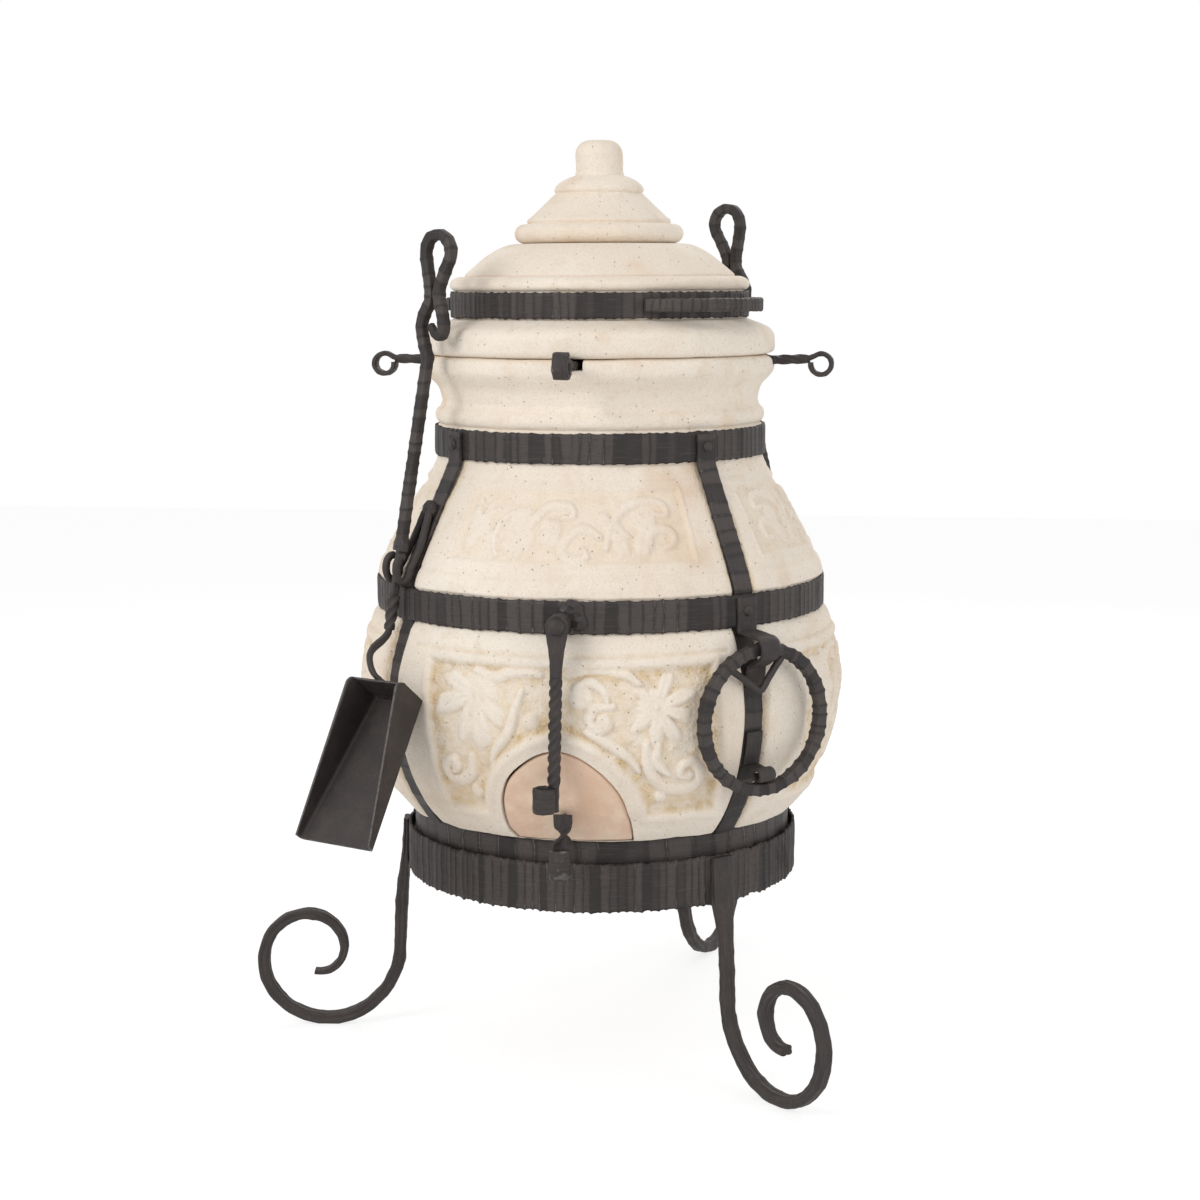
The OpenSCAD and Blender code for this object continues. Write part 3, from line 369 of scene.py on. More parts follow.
def forging_tree():
    """Sweeps a rounded bar along a line of points and leaves hammer marks on it.

    The line carries its own wide, thick, turn and side at each point.
    """
    nodes = bpy.data.node_groups.new("forged bar", "GeometryNodeTree")
    names = {"line": socket_in(nodes, "Line", "NodeSocketGeometry"),
             "corner": socket_in(nodes, "Corner", "NodeSocketFloat", 0.16),
             "around": socket_in(nodes, "Points Around", "NodeSocketInt", 24),
             "depth": socket_in(nodes, "Mark Depth", "NodeSocketFloat", 0.001),
             "spacing": socket_in(nodes, "Mark Spacing", "NodeSocketFloat", 0.012),
             "across": socket_in(nodes, "Mark Across", "NodeSocketFloat", 1.0),
             "flutes": socket_in(nodes, "Strokes Right Across", "NodeSocketFloat", 0.0),
             "fold": socket_in(nodes, "Fold Depth", "NodeSocketFloat", 0.0),
             "rub": socket_in(nodes, "Rubbed Bright", "NodeSocketFloat", 0.0),
             "seed": socket_in(nodes, "Seed", "NodeSocketFloat", 0.0),
             "caps": socket_in(nodes, "Closed Ends", "NodeSocketBool", True),
             "material": socket_in(nodes, "Material", "NodeSocketMaterial")}
    nodes.interface.new_socket("Bar", in_out="OUTPUT", socket_type="NodeSocketGeometry")
    tree = Tree(nodes)
    given = tree.add("NodeGroupInput")

    curve = tree.add("GeometryNodeMeshToCurve", None, {0: given})
    curve = tree.add("GeometryNodeSetCurveNormal", {"mode": "FREE"},
                     {"Curve": curve, "Normal": tree.stored("side", "FLOAT_VECTOR")})
    curve = tree.add("GeometryNodeSetCurveTilt", None, {"Curve": curve, "Tilt": tree.stored("turn")})
    curve = tree.keep(curve, "centre", tree.add("GeometryNodeInputPosition"), "FLOAT_VECTOR")
    curve = tree.keep(curve, "across", tree.add("GeometryNodeInputNormal"), "FLOAT_VECTOR")
    curve = tree.keep(curve, "forward", tree.add("GeometryNodeInputTangent"), "FLOAT_VECTOR")
    curve = tree.keep(curve, "walked", tree.add("GeometryNodeSplineParameter", out="Length"))
    section = tree.add("GeometryNodeCurvePrimitiveQuadrilateral", None, {"Width": 1.0, "Height": 1.0})
    section = tree.add("GeometryNodeFilletCurve", {"mode": "POLY"},
                       {"Curve": section, "Radius": given.out("Corner"), "Count": 3})
    section = tree.add("GeometryNodeResampleCurve", None,
                       {"Curve": section, "Count": given.out("Points Around")})
    bar = tree.add("GeometryNodeCurveToMesh", None,
                   {"Curve": curve, "Profile Curve": section, "Fill Caps": given.out("Closed Ends")})

    centre = tree.stored("centre", "FLOAT_VECTOR")
    sideways = tree.stored("across", "FLOAT_VECTOR")
    outward = tree.vector("CROSS_PRODUCT", tree.stored("forward", "FLOAT_VECTOR"), sideways)
    offset = tree.vector("SUBTRACT", tree.add("GeometryNodeInputPosition"), centre)
    s = tree.vector("DOT_PRODUCT", offset, sideways, out="Value")
    o = tree.vector("DOT_PRODUCT", offset, outward, out="Value")
    half_s = s * tree.stored("wide")
    half_o = o * tree.stored("thick")
    length = tree.stored("walked")
    spacing = given.out("Mark Spacing")
    mark_across = given.out("Mark Across")
    lane = tree.combine(length / spacing + given.out("Seed") * 7.3,
                        half_s * mark_across / spacing + given.out("Seed"),
                        half_o * mark_across / spacing)
    dent = tree.cells(lane, 1.0, randomness=0.85)
    sway = tree.noise(lane, 0.45, 2.0)
    spot = tree.combine(length * 30, half_s * 30, half_o * 30)
    wander = tree.noise(spot, 1.0, 2.0) - 0.5
    walked = length / spacing + given.out("Seed") * 7.3 + wander * 0.5
    stroke = tree.lengths_of(walked, "F1")
    edge = tree.lengths_of(walked, "DISTANCE_TO_EDGE")
    shade = stroke.out("Color").ramp(0.15, 0.85)
    flute = 0.75 - 1.3 * edge.ramp(-0.1, 0.34) + (shade - 0.5) * (walked - stroke.out("W")) * 1.7
    flutes = given.out("Strokes Right Across")
    marks = (dent * dent * 2.2 - 0.55) * (1 - flutes) + flute * flutes + (sway - 0.5) * 1.6
    push = given.out("Mark Depth") * marks
    seam = s.absolute().math("MINIMUM", o.absolute()) + wander * 0.12
    push = push - given.out("Fold Depth") * (1 - seam.absolute().ramp(0.02, 0.15))
    face = tree.vector("NORMALIZE", tree.vector(
        "ADD",
        tree.vector("SCALE", sideways, scale=s * s * s),
        tree.vector("SCALE", outward, scale=o * o * o)))
    place = tree.vector("ADD", centre, tree.vector("SCALE", sideways, scale=half_s))
    place = tree.vector("ADD", place, tree.vector("SCALE", outward, scale=half_o))
    place = tree.vector("ADD", place, tree.vector("SCALE", face, scale=push))
    # painted highlights: light lines on the ridges between hammer dents and between strokes
    ridge_highlight = (dent.ramp(0.45, 0.8) * 0.45 * (1 - flutes)
             + (1 - edge.ramp(0.03, 0.14)) * shade * 0.8 * flutes)
    # painted highlight along the bar's edges; Rubbed Bright adds real rubbing on top
    corner = s.absolute().ramp(0.36, 0.5) * o.absolute().ramp(0.36, 0.5)
    wear = corner * 0.5 + ridge_highlight + given.out("Rubbed Bright")
    bar = tree.keep(bar, "wear", wear)
    # a random tone for each stroke, falling off towards the stroke's ends, where the material paints shade in
    # the grooves
    bar = tree.keep(bar, "stroke", (0.02 + 0.98 * shade * edge.ramp(0.04, 0.24)) * flutes)
    bar = tree.keep(bar, "grain", tree.combine(length * 34, half_s * 620, half_o * 620), "FLOAT_VECTOR")
    bar = tree.add("GeometryNodeSetPosition", None, {"Geometry": bar, "Position": place})
    bar = tree.forget(bar, "centre", "across", "forward", "walked", "wide", "thick", "turn", "side")
    bar = tree.add("GeometryNodeRealizeInstances", None, {"Geometry": bar})
    bar = tree.add("GeometryNodeSetMaterial", None, {"Geometry": bar, "Material": given.out("Material")})
    tree.add("NodeGroupOutput", None, {0: bar})
    return nodes, names


FORGING, FORGING_INPUTS = forging_tree()


def forged(name, path, wide, thick, side, turn=0.0, closed=False, step=0.0026, **marks):
    """A forged bar along path, in metres; wide lies along side, thick across it."""
    path = np.array(path, float)
    count = len(path)
    side = np.broadcast_to(np.array(side, float), (count, 3))
    wide, thick, turn = (np.broadcast_to(v, (count,)) for v in (wide, thick, turn))
    if closed:
        path, side, wide, thick, turn = (np.concatenate([v, v[:1]]) for v in (path, side, wide, thick, turn))
    line, wide, thick, turn, sx, sy, sz = evenly(path, step, wide, thick, turn, *side.T)
    if closed:
        line, wide, thick, turn, sx, sy, sz = (v[:-1] for v in (line, wide, thick, turn, sx, sy, sz))
    n = len(line)
    mesh = bpy.data.meshes.new(name)
    edges = [(i, i + 1) for i in range(n - 1)] + ([(n - 1, 0)] if closed else [])
    mesh.from_pydata(line.tolist(), edges, [])
    for mark, values in (("wide", wide), ("thick", thick), ("turn", turn)):
        mesh.attributes.new(mark, "FLOAT", "POINT").data.foreach_set("value", values.astype(np.float32))
    mesh.attributes.new("side", "FLOAT_VECTOR", "POINT").data.foreach_set(
        "vector", np.stack([sx, sy, sz], 1).astype(np.float32).ravel())
    thing = add_object(name, mesh)
    modifier = thing.modifiers.new("forge", "NODES")
    modifier.node_group = FORGING
    for key, value in {**marks, "caps": not closed, "material": IRON}.items():
        modifier[FORGING_INPUTS[key]] = value
    return evaluated(thing)


def iron(name, body, node, path, wide, thick, side, **marks):
    """A finished forged bar on its body, for its node; sizes apart from the path are in millimetres."""
    for mark in {"depth", "spacing", "fold", "step"} & set(marks):
        marks[mark] *= MM
    bar = forged(name, path, np.multiply(wide, MM), np.multiply(thick, MM), side, **marks)
    return settle(bar, body, IRON, node)


def lump_tree():
    """Sets a hammered iron lump on each point, flattened along the point's out direction."""
    nodes = bpy.data.node_groups.new("hammered lumps", "GeometryNodeTree")
    names = {"spots": socket_in(nodes, "Spots", "NodeSocketGeometry"),
             "rough": socket_in(nodes, "Roughness", "NodeSocketFloat", 0.1),
             "seed": socket_in(nodes, "Seed", "NodeSocketFloat", 0.0),
             "material": socket_in(nodes, "Material", "NodeSocketMaterial")}
    nodes.interface.new_socket("Lumps", in_out="OUTPUT", socket_type="NodeSocketGeometry")
    tree = Tree(nodes)
    given = tree.add("NodeGroupInput")

    ball = tree.add("GeometryNodeMeshIcoSphere", None, {"Radius": 1.0, "Subdivisions": 5})
    facing = tree.add("FunctionNodeAlignRotationToVector", {"axis": "Z"},
                      {"Vector": tree.stored("out", "FLOAT_VECTOR")})
    lumps = tree.add("GeometryNodeInstanceOnPoints", None,
                     {"Points": given, "Instance": ball, "Rotation": facing,
                      "Scale": tree.stored("size", "FLOAT_VECTOR")})
    lumps = tree.add("GeometryNodeRealizeInstances", None, {"Geometry": lumps})
    place = tree.add("GeometryNodeInputPosition")
    facet = tree.cells(tree.vector("SCALE", place, scale=150.0 + given.out("Seed")), 1.0)
    push = (facet - 0.45) * given.out("Roughness") * 0.01
    normal = tree.add("GeometryNodeInputNormal")
    lumps = tree.add("GeometryNodeSetPosition", None,
                     {"Geometry": lumps, "Offset": tree.vector("SCALE", normal, scale=push)})
    # painted highlight on the ridges between hammer facets
    lumps = tree.forget(tree.keep(lumps, "wear", facet.ramp(0.4, 0.9) * 0.7), "out", "size")
    lumps = tree.add("GeometryNodeSetMaterial", None, {"Geometry": lumps, "Material": given.out("Material")})
    tree.add("NodeGroupOutput", None, {0: lumps})
    return nodes, names


LUMPING, LUMPING_INPUTS = lump_tree()


def lumps(name, node, spots, rough, seed):
    """Iron lumps on the pot; each spot is (point, out, radius, height), the last two in millimetres."""
    mesh = bpy.data.meshes.new(name)
    mesh.from_pydata([tuple(s[0]) for s in spots], [], [])
    outs = np.array([s[1] for s in spots], np.float32)
    sizes = np.array([(s[2] * MM, s[2] * MM, s[3] * MM) for s in spots], np.float32)
    mesh.attributes.new("out", "FLOAT_VECTOR", "POINT").data.foreach_set("vector", outs.ravel())
    mesh.attributes.new("size", "FLOAT_VECTOR", "POINT").data.foreach_set("vector", sizes.ravel())
    thing = add_object(name, mesh)
    modifier = thing.modifiers.new("lumps", "NODES")
    modifier.node_group = LUMPING
    for key, value in {"rough": rough, "seed": seed, "material": IRON}.items():
        modifier[LUMPING_INPUTS[key]] = value
    return settle(evaluated(thing), "pot", IRON, node)


# ---------- sizes of the oven, in millimetres ----------

FOOT_R, BULGE_R, BELLY_SEAT_R, NECK_SEAT_R = 220, 287, 260, 190
BASE_TOP, HOLE_Z, BULGE_Z, BELLY_Z, BELLY_TOP = 286, 287, 432, 523, 559
NECK_Z, NECK_TOP, RIM_Z, RIM_R, WALL = 700, 734, 815, 204, 42
BELLY_RO, NECK_RO, LID_BAND_RO = 263.8, 193.8, 173.8
RING_RI, RING_RO, STAND_H, RING_H = 228.3, 231.8, 205, 56
HOLE_W, HOLE_H = 143, 111
STRAPS = (-134, -48, 46, 134)
STRAP_W, STRAP_T = 26, 4
U_PER_DEGREE = 283 * math.pi / 180

LOWER_CURVE = bezier((FOOT_R + 11, HOLE_Z - 0.4), (FOOT_R + 44, HOLE_Z + 33),
                     (BULGE_R, BULGE_Z - 56), (BULGE_R, BULGE_Z), 30)
UPPER_CURVE = bezier((BULGE_R, BULGE_Z), (BULGE_R, BULGE_Z + 36),
                     (BELLY_SEAT_R + 17, BELLY_Z - 30), (BELLY_SEAT_R + 9, BELLY_Z - 9), 20)
SHOULDER_CURVE = bezier((BELLY_SEAT_R + 1, BELLY_TOP + 10), (BELLY_SEAT_R - 18, BELLY_TOP + 50),
                        (NECK_SEAT_R + 32, NECK_Z - 56), (NECK_SEAT_R + 13, NECK_Z - 28), 24)
INSIDE = np.concatenate([
    [[RIM_R - WALL, RIM_Z - 0.5], [RIM_R - WALL, NECK_TOP + 66], [147.5, NECK_TOP + 34], [146.5, NECK_Z]],
    bezier((154.5, NECK_Z - 30), (198, BELLY_TOP + 20),
           (BULGE_R - WALL, BELLY_Z), (BULGE_R - WALL, BULGE_Z), 12),
    bezier((BULGE_R - WALL, BULGE_Z), (BULGE_R - WALL, BULGE_Z - 60), (218, 328), (178, 288), 10)[1:]])
STRAP_PATH = np.concatenate([
    bezier((FOOT_R + 5, BASE_TOP + 0.5), (FOOT_R + 36, BASE_TOP + 38),
           (275, BULGE_Z - 56), (275, BULGE_Z), 16),
    bezier((275, BULGE_Z), (275, BULGE_Z + 34), (263.8, BELLY_Z - 34), (255.8, BELLY_Z - 6), 12)[1:],
    bezier((255.8, BELLY_TOP + 4), (239.8, BELLY_TOP + 50), (216, NECK_Z - 50), (194, NECK_Z - 4), 14),
    [[194, NECK_TOP - 3]]])


def offset_path(path, distance):
    """A flat (radius, height) path moved outwards by a distance."""
    path = np.array(path, float)
    t = np.gradient(path, axis=0)
    t /= np.linalg.norm(t, axis=1)[:, None]
    return path + distance * np.stack([t[:, 1], -t[:, 0]], 1)


STRAP_FACE = offset_path(STRAP_PATH, STRAP_T)


def strap_r(z):
    """How far out the face of a strap stands at a height."""
    return float(np.interp(z, STRAP_FACE[:, 1], STRAP_FACE[:, 0]))


def stand_up(path, az):
    """Points in space from a (radius, height) path at an azimuth."""
    return np.array([at(az, r, 0, z) for r, z in path])


# ---------- clay ----------

WAVES, WAVES_REACH = 14, 3.7


def smooth_noise(points, size, seed):
    """Soft random waves about as long as size, roughly -1 to 1."""
    rng = np.random.default_rng(seed)
    total = np.zeros(len(points))
    for _ in range(WAVES):
        wave = rng.normal(size=3)
        wave *= 2 * math.pi / size * rng.uniform(0.6, 1.5) / np.linalg.norm(wave)
        total += np.sin(points @ wave + rng.uniform(0, 2 * math.pi))
    return total / WAVES_REACH


def soft_step(x, low, high):
    t = np.clip((x - low) / (high - low), 0, 1)
    return t * t * (3 - 2 * t)


def distance_to(u, z, line):
    """Distance from points to a polyline, and how far along it the nearest place is, 0 to 1."""
    best = np.full(u.shape, 1e9)
    along_it = np.zeros(u.shape)
    line = np.array(line, float)
    lengths = np.linalg.norm(np.diff(line, axis=0), axis=1)
    walked = 0.0
    for a, b, length in zip(line, line[1:], lengths):
        t = np.clip(((u - a[0]) * (b - a)[0] + (z - a[1]) * (b - a)[1]) / max(length, 1e-9) ** 2, 0, 1)
        d = np.hypot(u - a[0] - t * (b - a)[0], z - a[1] - t * (b - a)[1])
        near = d < best
        best = np.where(near, d, best)
        along_it = np.where(near, (walked + t * length) / lengths.sum(), along_it)
        walked += length
    return best, along_it


STEM_END, LEAF_WAIST = 0.45, 0.5


class Relief:
    """Pressed ornament, gathered as heights over the ground of a panel."""

    def __init__(self, u, z):
        self.u, self.z = u, z
        self.height = np.zeros(u.shape)

    def raise_to(self, height):
        """Keeps whichever is higher, so that crossing shapes lie over each other."""
        self.height = np.maximum(self.height, height)

    def stem(self, points, width, height):
        """A round stem through the points, thinner towards both ends."""
        d, k = distance_to(self.u, self.z, through(points, 5))
        w = width * (STEM_END + (1 - STEM_END) * np.sin(math.pi * np.clip(k * 0.85 + 0.12, 0, 1)))
        self.raise_to(height * np.sqrt(np.clip(1 - (d / w) ** 2, 0, 1)))

    def ball(self, u, z, r, height):
        """A berry, as half an egg on the ground."""
        d = np.hypot(self.u - u, self.z - z) / r
        self.raise_to(height * np.sqrt(np.clip(1 - d * d, 0, 1)))

    def leaf(self, root, tips, height):
        """A broad leaf: a round-ended lobe towards each tip, puffy, folded along its veins."""
        du, dz = self.u - root[0], self.z - root[1]
        angle, reach = np.arctan2(dz, du), np.hypot(du, dz)
        lengths = [math.dist(root, tip) for tip in tips]
        base = LEAF_WAIST * sum(lengths) / len(lengths)
        half = 0.72 * math.pi / len(tips)
        edge = np.full(self.u.shape, base)
        fold = np.zeros(self.u.shape)
        for tip, length in zip(tips, lengths):
            vein = math.atan2(tip[1] - root[1], tip[0] - root[0])
            turn = np.abs((angle - vein + math.pi) % (2 * math.pi) - math.pi)
            lobe = np.clip(np.cos(np.minimum(turn / half, 1) * math.pi / 2), 0, 1) ** 0.7
            edge = np.maximum(edge, base + (length - base) * lobe)
            off_vein = distance_to(self.u, self.z, [root, tip])[0]
            fold = np.maximum(fold, np.exp(-(off_vein / 2.4) ** 2))
        edge = edge * (1 + 0.05 * np.sin(17 * angle + root[0]))
        rho = np.clip(reach / edge, 0, 1)
        between = 0.74 + 0.26 * np.clip((edge - base) / (max(lengths) - base), 0, 1)
        crease = 0.34 * fold * (1 - rho) * np.clip(rho * 5, 0, 1)
        self.raise_to(height * (np.sqrt(1 - rho ** 3) * between - crease))


LEFT_VINES = [
    ([(-107, 385), (-111, 365), (-128, 353), (-144, 357), (-146, 370), (-133, 378), (-128, 371),
      (-135, 364)], 6),
    ([(-100, 482), (-77, 476), (-61, 482), (-42, 484), (-22, 481)], 5.5),
    ([(-43, 462), (-49, 446), (-59, 416), (-77, 392), (-81, 376)], 5)]
RIGHT_VINES = [
    ([(7, 482), (28, 489), (51, 489), (72, 482), (86, 472)], 5.5),
    ([(15, 468), (32, 474), (47, 464), (51, 452)], 4.5),
    ([(57, 448), (36, 445), (32, 430), (41, 422), (52, 427), (48, 436), (42, 434)], 5),
    ([(28, 420), (53, 405), (75, 389), (86, 374)], 5),
    ([(93, 404), (98, 373), (119, 352), (147, 350), (159, 364), (149, 381), (136, 378), (135, 366),
      (146, 364)], 6),
    ([(107, 403), (105, 384), (121, 368)], 5)]
LEFT_LEAF = ((-97, 456), [(-143, 474), (-154, 436), (-118, 401), (-90, 392), (-63, 425), (-86, 484)])
RIGHT_LEAF = ((104, 446), [(149, 462), (146, 432), (130, 406), (105, 400), (78, 419), (84, 466),
                           (122, 484)])
LOW_LEAF = ((0, 372), [(-36, 392), (-33, 350), (0, 334), (33, 350), (36, 392), (0, 412)])
BERRIES = [(-109, 342, 8.5, 5), (-32, 430, 10, 5), (22, 458, 14, 4.6), (114, 342, 8.5, 5),
           (-133, 369, 5, 4.6), (44, 431, 6, 4.8), (146, 366, 6, 4.8)]


def vine_relief(u, z, hole):
    """Vine, leaves and berries of a lower panel."""
    relief = Relief(u, z)
    relief.leaf(*LEFT_LEAF, 6.2)
    relief.leaf(*RIGHT_LEAF, 6.0)
    for points, width in LEFT_VINES + RIGHT_VINES:
        relief.stem(points, width * 1.3, 5.2)
    for berry in BERRIES:
        relief.ball(*berry)
    if not hole:
        relief.leaf(*LOW_LEAF, 5.0)
    return relief.height


UPPER_VINES = [
    ([(-67, 600), (-59, 618), (-53, 638), (-32, 656), (-2, 657), (7, 648), (-9, 645)], 4.5),
    ([(43, 625), (21, 634), (-1, 624), (-7, 610), (7, 602), (26, 604), (22, 613)], 4.5),
    ([(51, 613), (59, 636), (77, 654), (107, 662), (137, 658), (138, 647), (121, 648)], 4),
    ([(100, 618), (122, 632), (142, 629), (142, 617), (130, 614)], 4),
    ([(-107, 652), (-128, 645), (-146, 638), (-143, 660)], 3.5),
    ([(-95, 604), (-105, 622), (-98, 640), (-82, 650)], 3.5)]
UPPER_LEAVES = [
    ((-128, 634), [(-154, 652), (-153, 630), (-147, 608), (-122, 662), (-108, 620)]),
    ((-62, 622), [(-88, 640), (-90, 612), (-74, 656)]),
    ((-20, 634), [(-40, 640), (-18, 614), (-34, 618)]),
    ((62, 632), [(40, 650), (84, 622), (78, 604), (46, 642)]),
    ((108, 634), [(92, 646), (96, 606), (118, 650)])]


def upper_relief(u, z):
    """Fainter scrolls of an upper panel; sideways sizes shrink with the shoulder."""
    k = 0.8
    relief = Relief(u * k, z)
    for points, width in UPPER_VINES:
        relief.stem([(a * k, b) for a, b in points], width * 1.3, 3.4)
    for root, tips in UPPER_LEAVES:
        relief.leaf((root[0] * k, root[1]), [(a * k, b) for a, b in tips], 3.7)
    return relief.height


ARCH = [(-0.82, 0), (-0.95, 0.12), (-1, 0.32), (-0.97, 0.52), (-0.82, 0.73), (-0.45, 0.93), (-0.1, 1),
        (0.25, 0.95), (0.62, 0.77), (0.88, 0.53), (0.98, 0.28), (1, 0.1), (0.99, 0)]


def arch_outline(w, h):
    """The blow hole's (sideways, height) outline over its sill."""
    points = through(ARCH, 4) * (w / 2, h)
    points[:, 1] = np.maximum(points[:, 1], 0)
    return points


def pressed(az, z, radius, points):
    """Height in mm that pressing adds to the pot's wall, and where ochre ground stays in it."""
    mids = np.array([0.0, 90.0, 180.0, -90.0])
    turn = np.abs((az[:, None] - mids + 180) % 360 - 180)
    span = np.argmin(turn, axis=1)
    u = ((az - mids[span] + 180) % 360 - 180) * U_PER_DEGREE
    front = span == 0
    height = np.zeros(len(az))
    stain = np.zeros(len(az))

    low = (z > 290) & (z < 500)
    left = np.where(front, -157 - 10 * (z - 314) / 177, -136)
    right = np.where(front, 189 - 15 * (z - 316) / 180, 136)
    depth = np.minimum(np.minimum(u - left, right - u), np.minimum(z - 318, 491 - z))
    sill = distance_to(radius * np.sin(np.radians(az)), z - HOLE_Z, arch_outline(HOLE_W, HOLE_H))[0]
    depth = np.where(front & (z < 440), np.minimum(depth, sill - 17), depth)
    sunk = soft_step(depth, 0, 7) * low
    border = np.exp(-((depth + 4) / 4.5) ** 2) * low
    for is_front in (True, False):
        here = low & (front == is_front)
        wide = 1.0 if is_front else 0.84
        motif = vine_relief(u[here] / wide, z[here], is_front)
        motif *= soft_step(depth[here], 0, 9)
        ground = smooth_noise(points[here], 5.5, 3) * 0.3 + smooth_noise(points[here], 24, 4) * 0.9
        height[here] = (border[here] * 1.4 - sunk[here] * 5.8
                        + np.maximum(motif, ground + 0.6) * sunk[here])
        hollow = np.clip(1 - (motif - ground * 0.8) / 1.9, 0, 1)
        stain[here] = sunk[here] * hollow * (0.45 + 0.55 * np.exp(-(depth[here] / 17) ** 2))
    groove = np.exp(-((z - 500.5) / 2.2) ** 2) * (np.abs(u) < 196)
    height -= 1.7 * groove
    stain = np.maximum(stain, 0.35 * groove)

    high = (z > 560) & (z < 692)
    inner = np.minimum(168 - np.abs(u), np.minimum(z - 597, 673 - z))
    frame_line = np.exp(-((inner + 1.5) / 2.2) ** 2) * high
    upper = soft_step(inner, -1, 4) * high
    motif = np.zeros(len(az))
    motif[high] = upper_relief(u[high] * np.where(front[high], 1, -1), z[high]) * upper[high]
    height += -2.6 * upper + motif + 1.1 * frame_line
    height -= 1.5 * np.exp(-((z - 583) / 2.4) ** 2) - 0.9 * np.exp(-((z - 575) / 5.5) ** 2)
    height -= 0.9 * np.exp(-((z - 683.5) / 2.0) ** 2)
    stain = np.maximum(stain, 0.2 * upper * np.clip(1 - motif / 1.4, 0, 1))
    return height, stain


def wall_rows(outline, step):
    """Evenly spaced places on a (radius, height) outline, with their outward directions."""
    rows = evenly(outline, step)
    t = np.gradient(rows, axis=0)
    t /= np.linalg.norm(t, axis=1)[:, None]
    return rows, np.stack([t[:, 1], -t[:, 0]], 1)


def pot_wall(name, outline, spans, step, wide_step, strapped=True):
    """A closed length of the pot's wall, pressed on its outside, grooved where straps lie."""
    rows, normals = wall_rows(outline, step)
    edge = np.array([0, 7, 12.8, 14.2, 15.6, 17.5, 20, 23.5, 28.0])
    inside_z = np.linspace(rows[-1, 1], rows[0, 1], 14)
    order = np.argsort(INSIDE[:, 1])
    inner = np.stack([np.interp(inside_z, INSIDE[order, 1], INSIDE[order, 0]), inside_z], 1)
    all_rows = np.concatenate([rows, inner])
    columns = []
    for first, last in spans:
        count = int((last - first) * U_PER_DEGREE / wide_step)
        near = np.degrees(np.arcsin(edge[None, :] / np.maximum(all_rows[:, :1], 120)))
        middle = np.linspace(0, 1, count)[None, 1:-1]
        low, high = first + near[:, -1:], last - near[:, -1:]
        columns.append(np.concatenate([first + near, low + (high - low) * middle, last - near[:, :0:-1]],
                                      axis=1))
    whole = spans[-1][1] - spans[0][0] >= 360
    if not whole:
        columns.append(np.full((len(all_rows), 1), spans[-1][1]))
    az = np.concatenate(columns, axis=1)
    n_out, n_all, n_col = len(rows), *az.shape
    r = np.repeat(all_rows[:, :1], n_col, 1)
    z = np.repeat(all_rows[:, 1:], n_col, 1)

    a, rr, zz = az[:n_out].ravel(), r[:n_out].ravel(), z[:n_out].ravel()
    spot = np.stack([rr * np.sin(np.radians(a)), -rr * np.cos(np.radians(a)), zz], 1)
    height, stain = pressed(a, zz, rr, spot)
    height += smooth_noise(spot, 60, 1) * 0.55 + smooth_noise(spot, 14, 2) * 0.12
    nr = np.repeat(normals[:, 0], n_col)
    nz = np.repeat(normals[:, 1], n_col)
    rr = rr + height * nr
    zz = np.clip(zz + height * nz, rows[0, 1], rows[-1, 1])
    if strapped:
        off = (a[:, None] - np.array(STRAPS) + 180) % 360 - 180
        aside = rr[:, None] * np.abs(np.sin(np.radians(off)))
        side = np.min(np.where(np.abs(off) < 60, aside, 1e3), axis=1)
        bed = np.interp(zz, STRAP_PATH[:, 1], STRAP_PATH[:, 0]) - 0.25
        k = np.clip((side - 13.8) / 11, 0, 1)
        lift = np.sqrt(1 - (1 - k) ** 2)
        inside_range = (zz > BASE_TOP - 4) & (zz < NECK_TOP)
        rr = np.where(inside_range & (rr > bed), bed + (rr - bed) * lift, rr)
        stain = np.maximum(stain, 0.5 * np.exp(-((side - 15) / 3.5) ** 2) * inside_range)
    r[:n_out] = rr.reshape(n_out, n_col)
    z[:n_out] = zz.reshape(n_out, n_col)
    points = np.stack([r * np.sin(np.radians(az)), -r * np.cos(np.radians(az)), z], -1).reshape(-1, 3) * MM
    recess = np.concatenate([stain, np.zeros((n_all - n_out) * n_col)])

    i, j = np.meshgrid(np.arange(n_all), np.arange(n_col if whole else n_col - 1), indexing="ij")
    i2, j2 = (i + 1) % n_all, (j + 1) % n_col
    faces = np.stack([i * n_col + j, i * n_col + j2, i2 * n_col + j2, i2 * n_col + j], -1)
    faces = faces.reshape(-1, 4).tolist()
    if not whole:
        faces.append([k * n_col for k in range(n_all)])
        faces.append([k * n_col + n_col - 1 for k in range(n_all - 1, -1, -1)])
    return add_object(name, make_mesh(name, points, faces, {"recess": recess}))


def prism(name, outline, place):
    """A closed prism; place(x, z, k) puts an outline point at the near (0) or far (1) end."""
    n = len(outline)
    points = [place(x, z, k) for k in (0, 1) for x, z in outline]
    faces = [list(range(n - 1, -1, -1)), list(range(n, 2 * n))]
    faces += [[i, (i + 1) % n, n + (i + 1) % n, n + i] for i in range(n)]
    return joined_up(add_object(name, make_mesh(name, points, faces)))


def joined_up(thing):
    """Merges doubled points and turns the faces outwards."""
    work = bmesh.new()
    work.from_mesh(thing.data)
    bmesh.ops.remove_doubles(work, verts=work.verts, dist=1e-5)
    bmesh.ops.recalc_face_normals(work, faces=work.faces)
    work.to_mesh(thing.data)
    work.free()
    return thing


def cut(thing, *tools):
    """Takes the tools out of a piece and removes them."""
    for tool in tools:
        modifier = thing.modifiers.new("cut", "BOOLEAN")
        modifier.solver = "MANIFOLD"
        modifier.operation = "DIFFERENCE"
        modifier.object = tool
    evaluated(thing)
    for tool in tools:
        bpy.data.objects.remove(tool)
    return thing


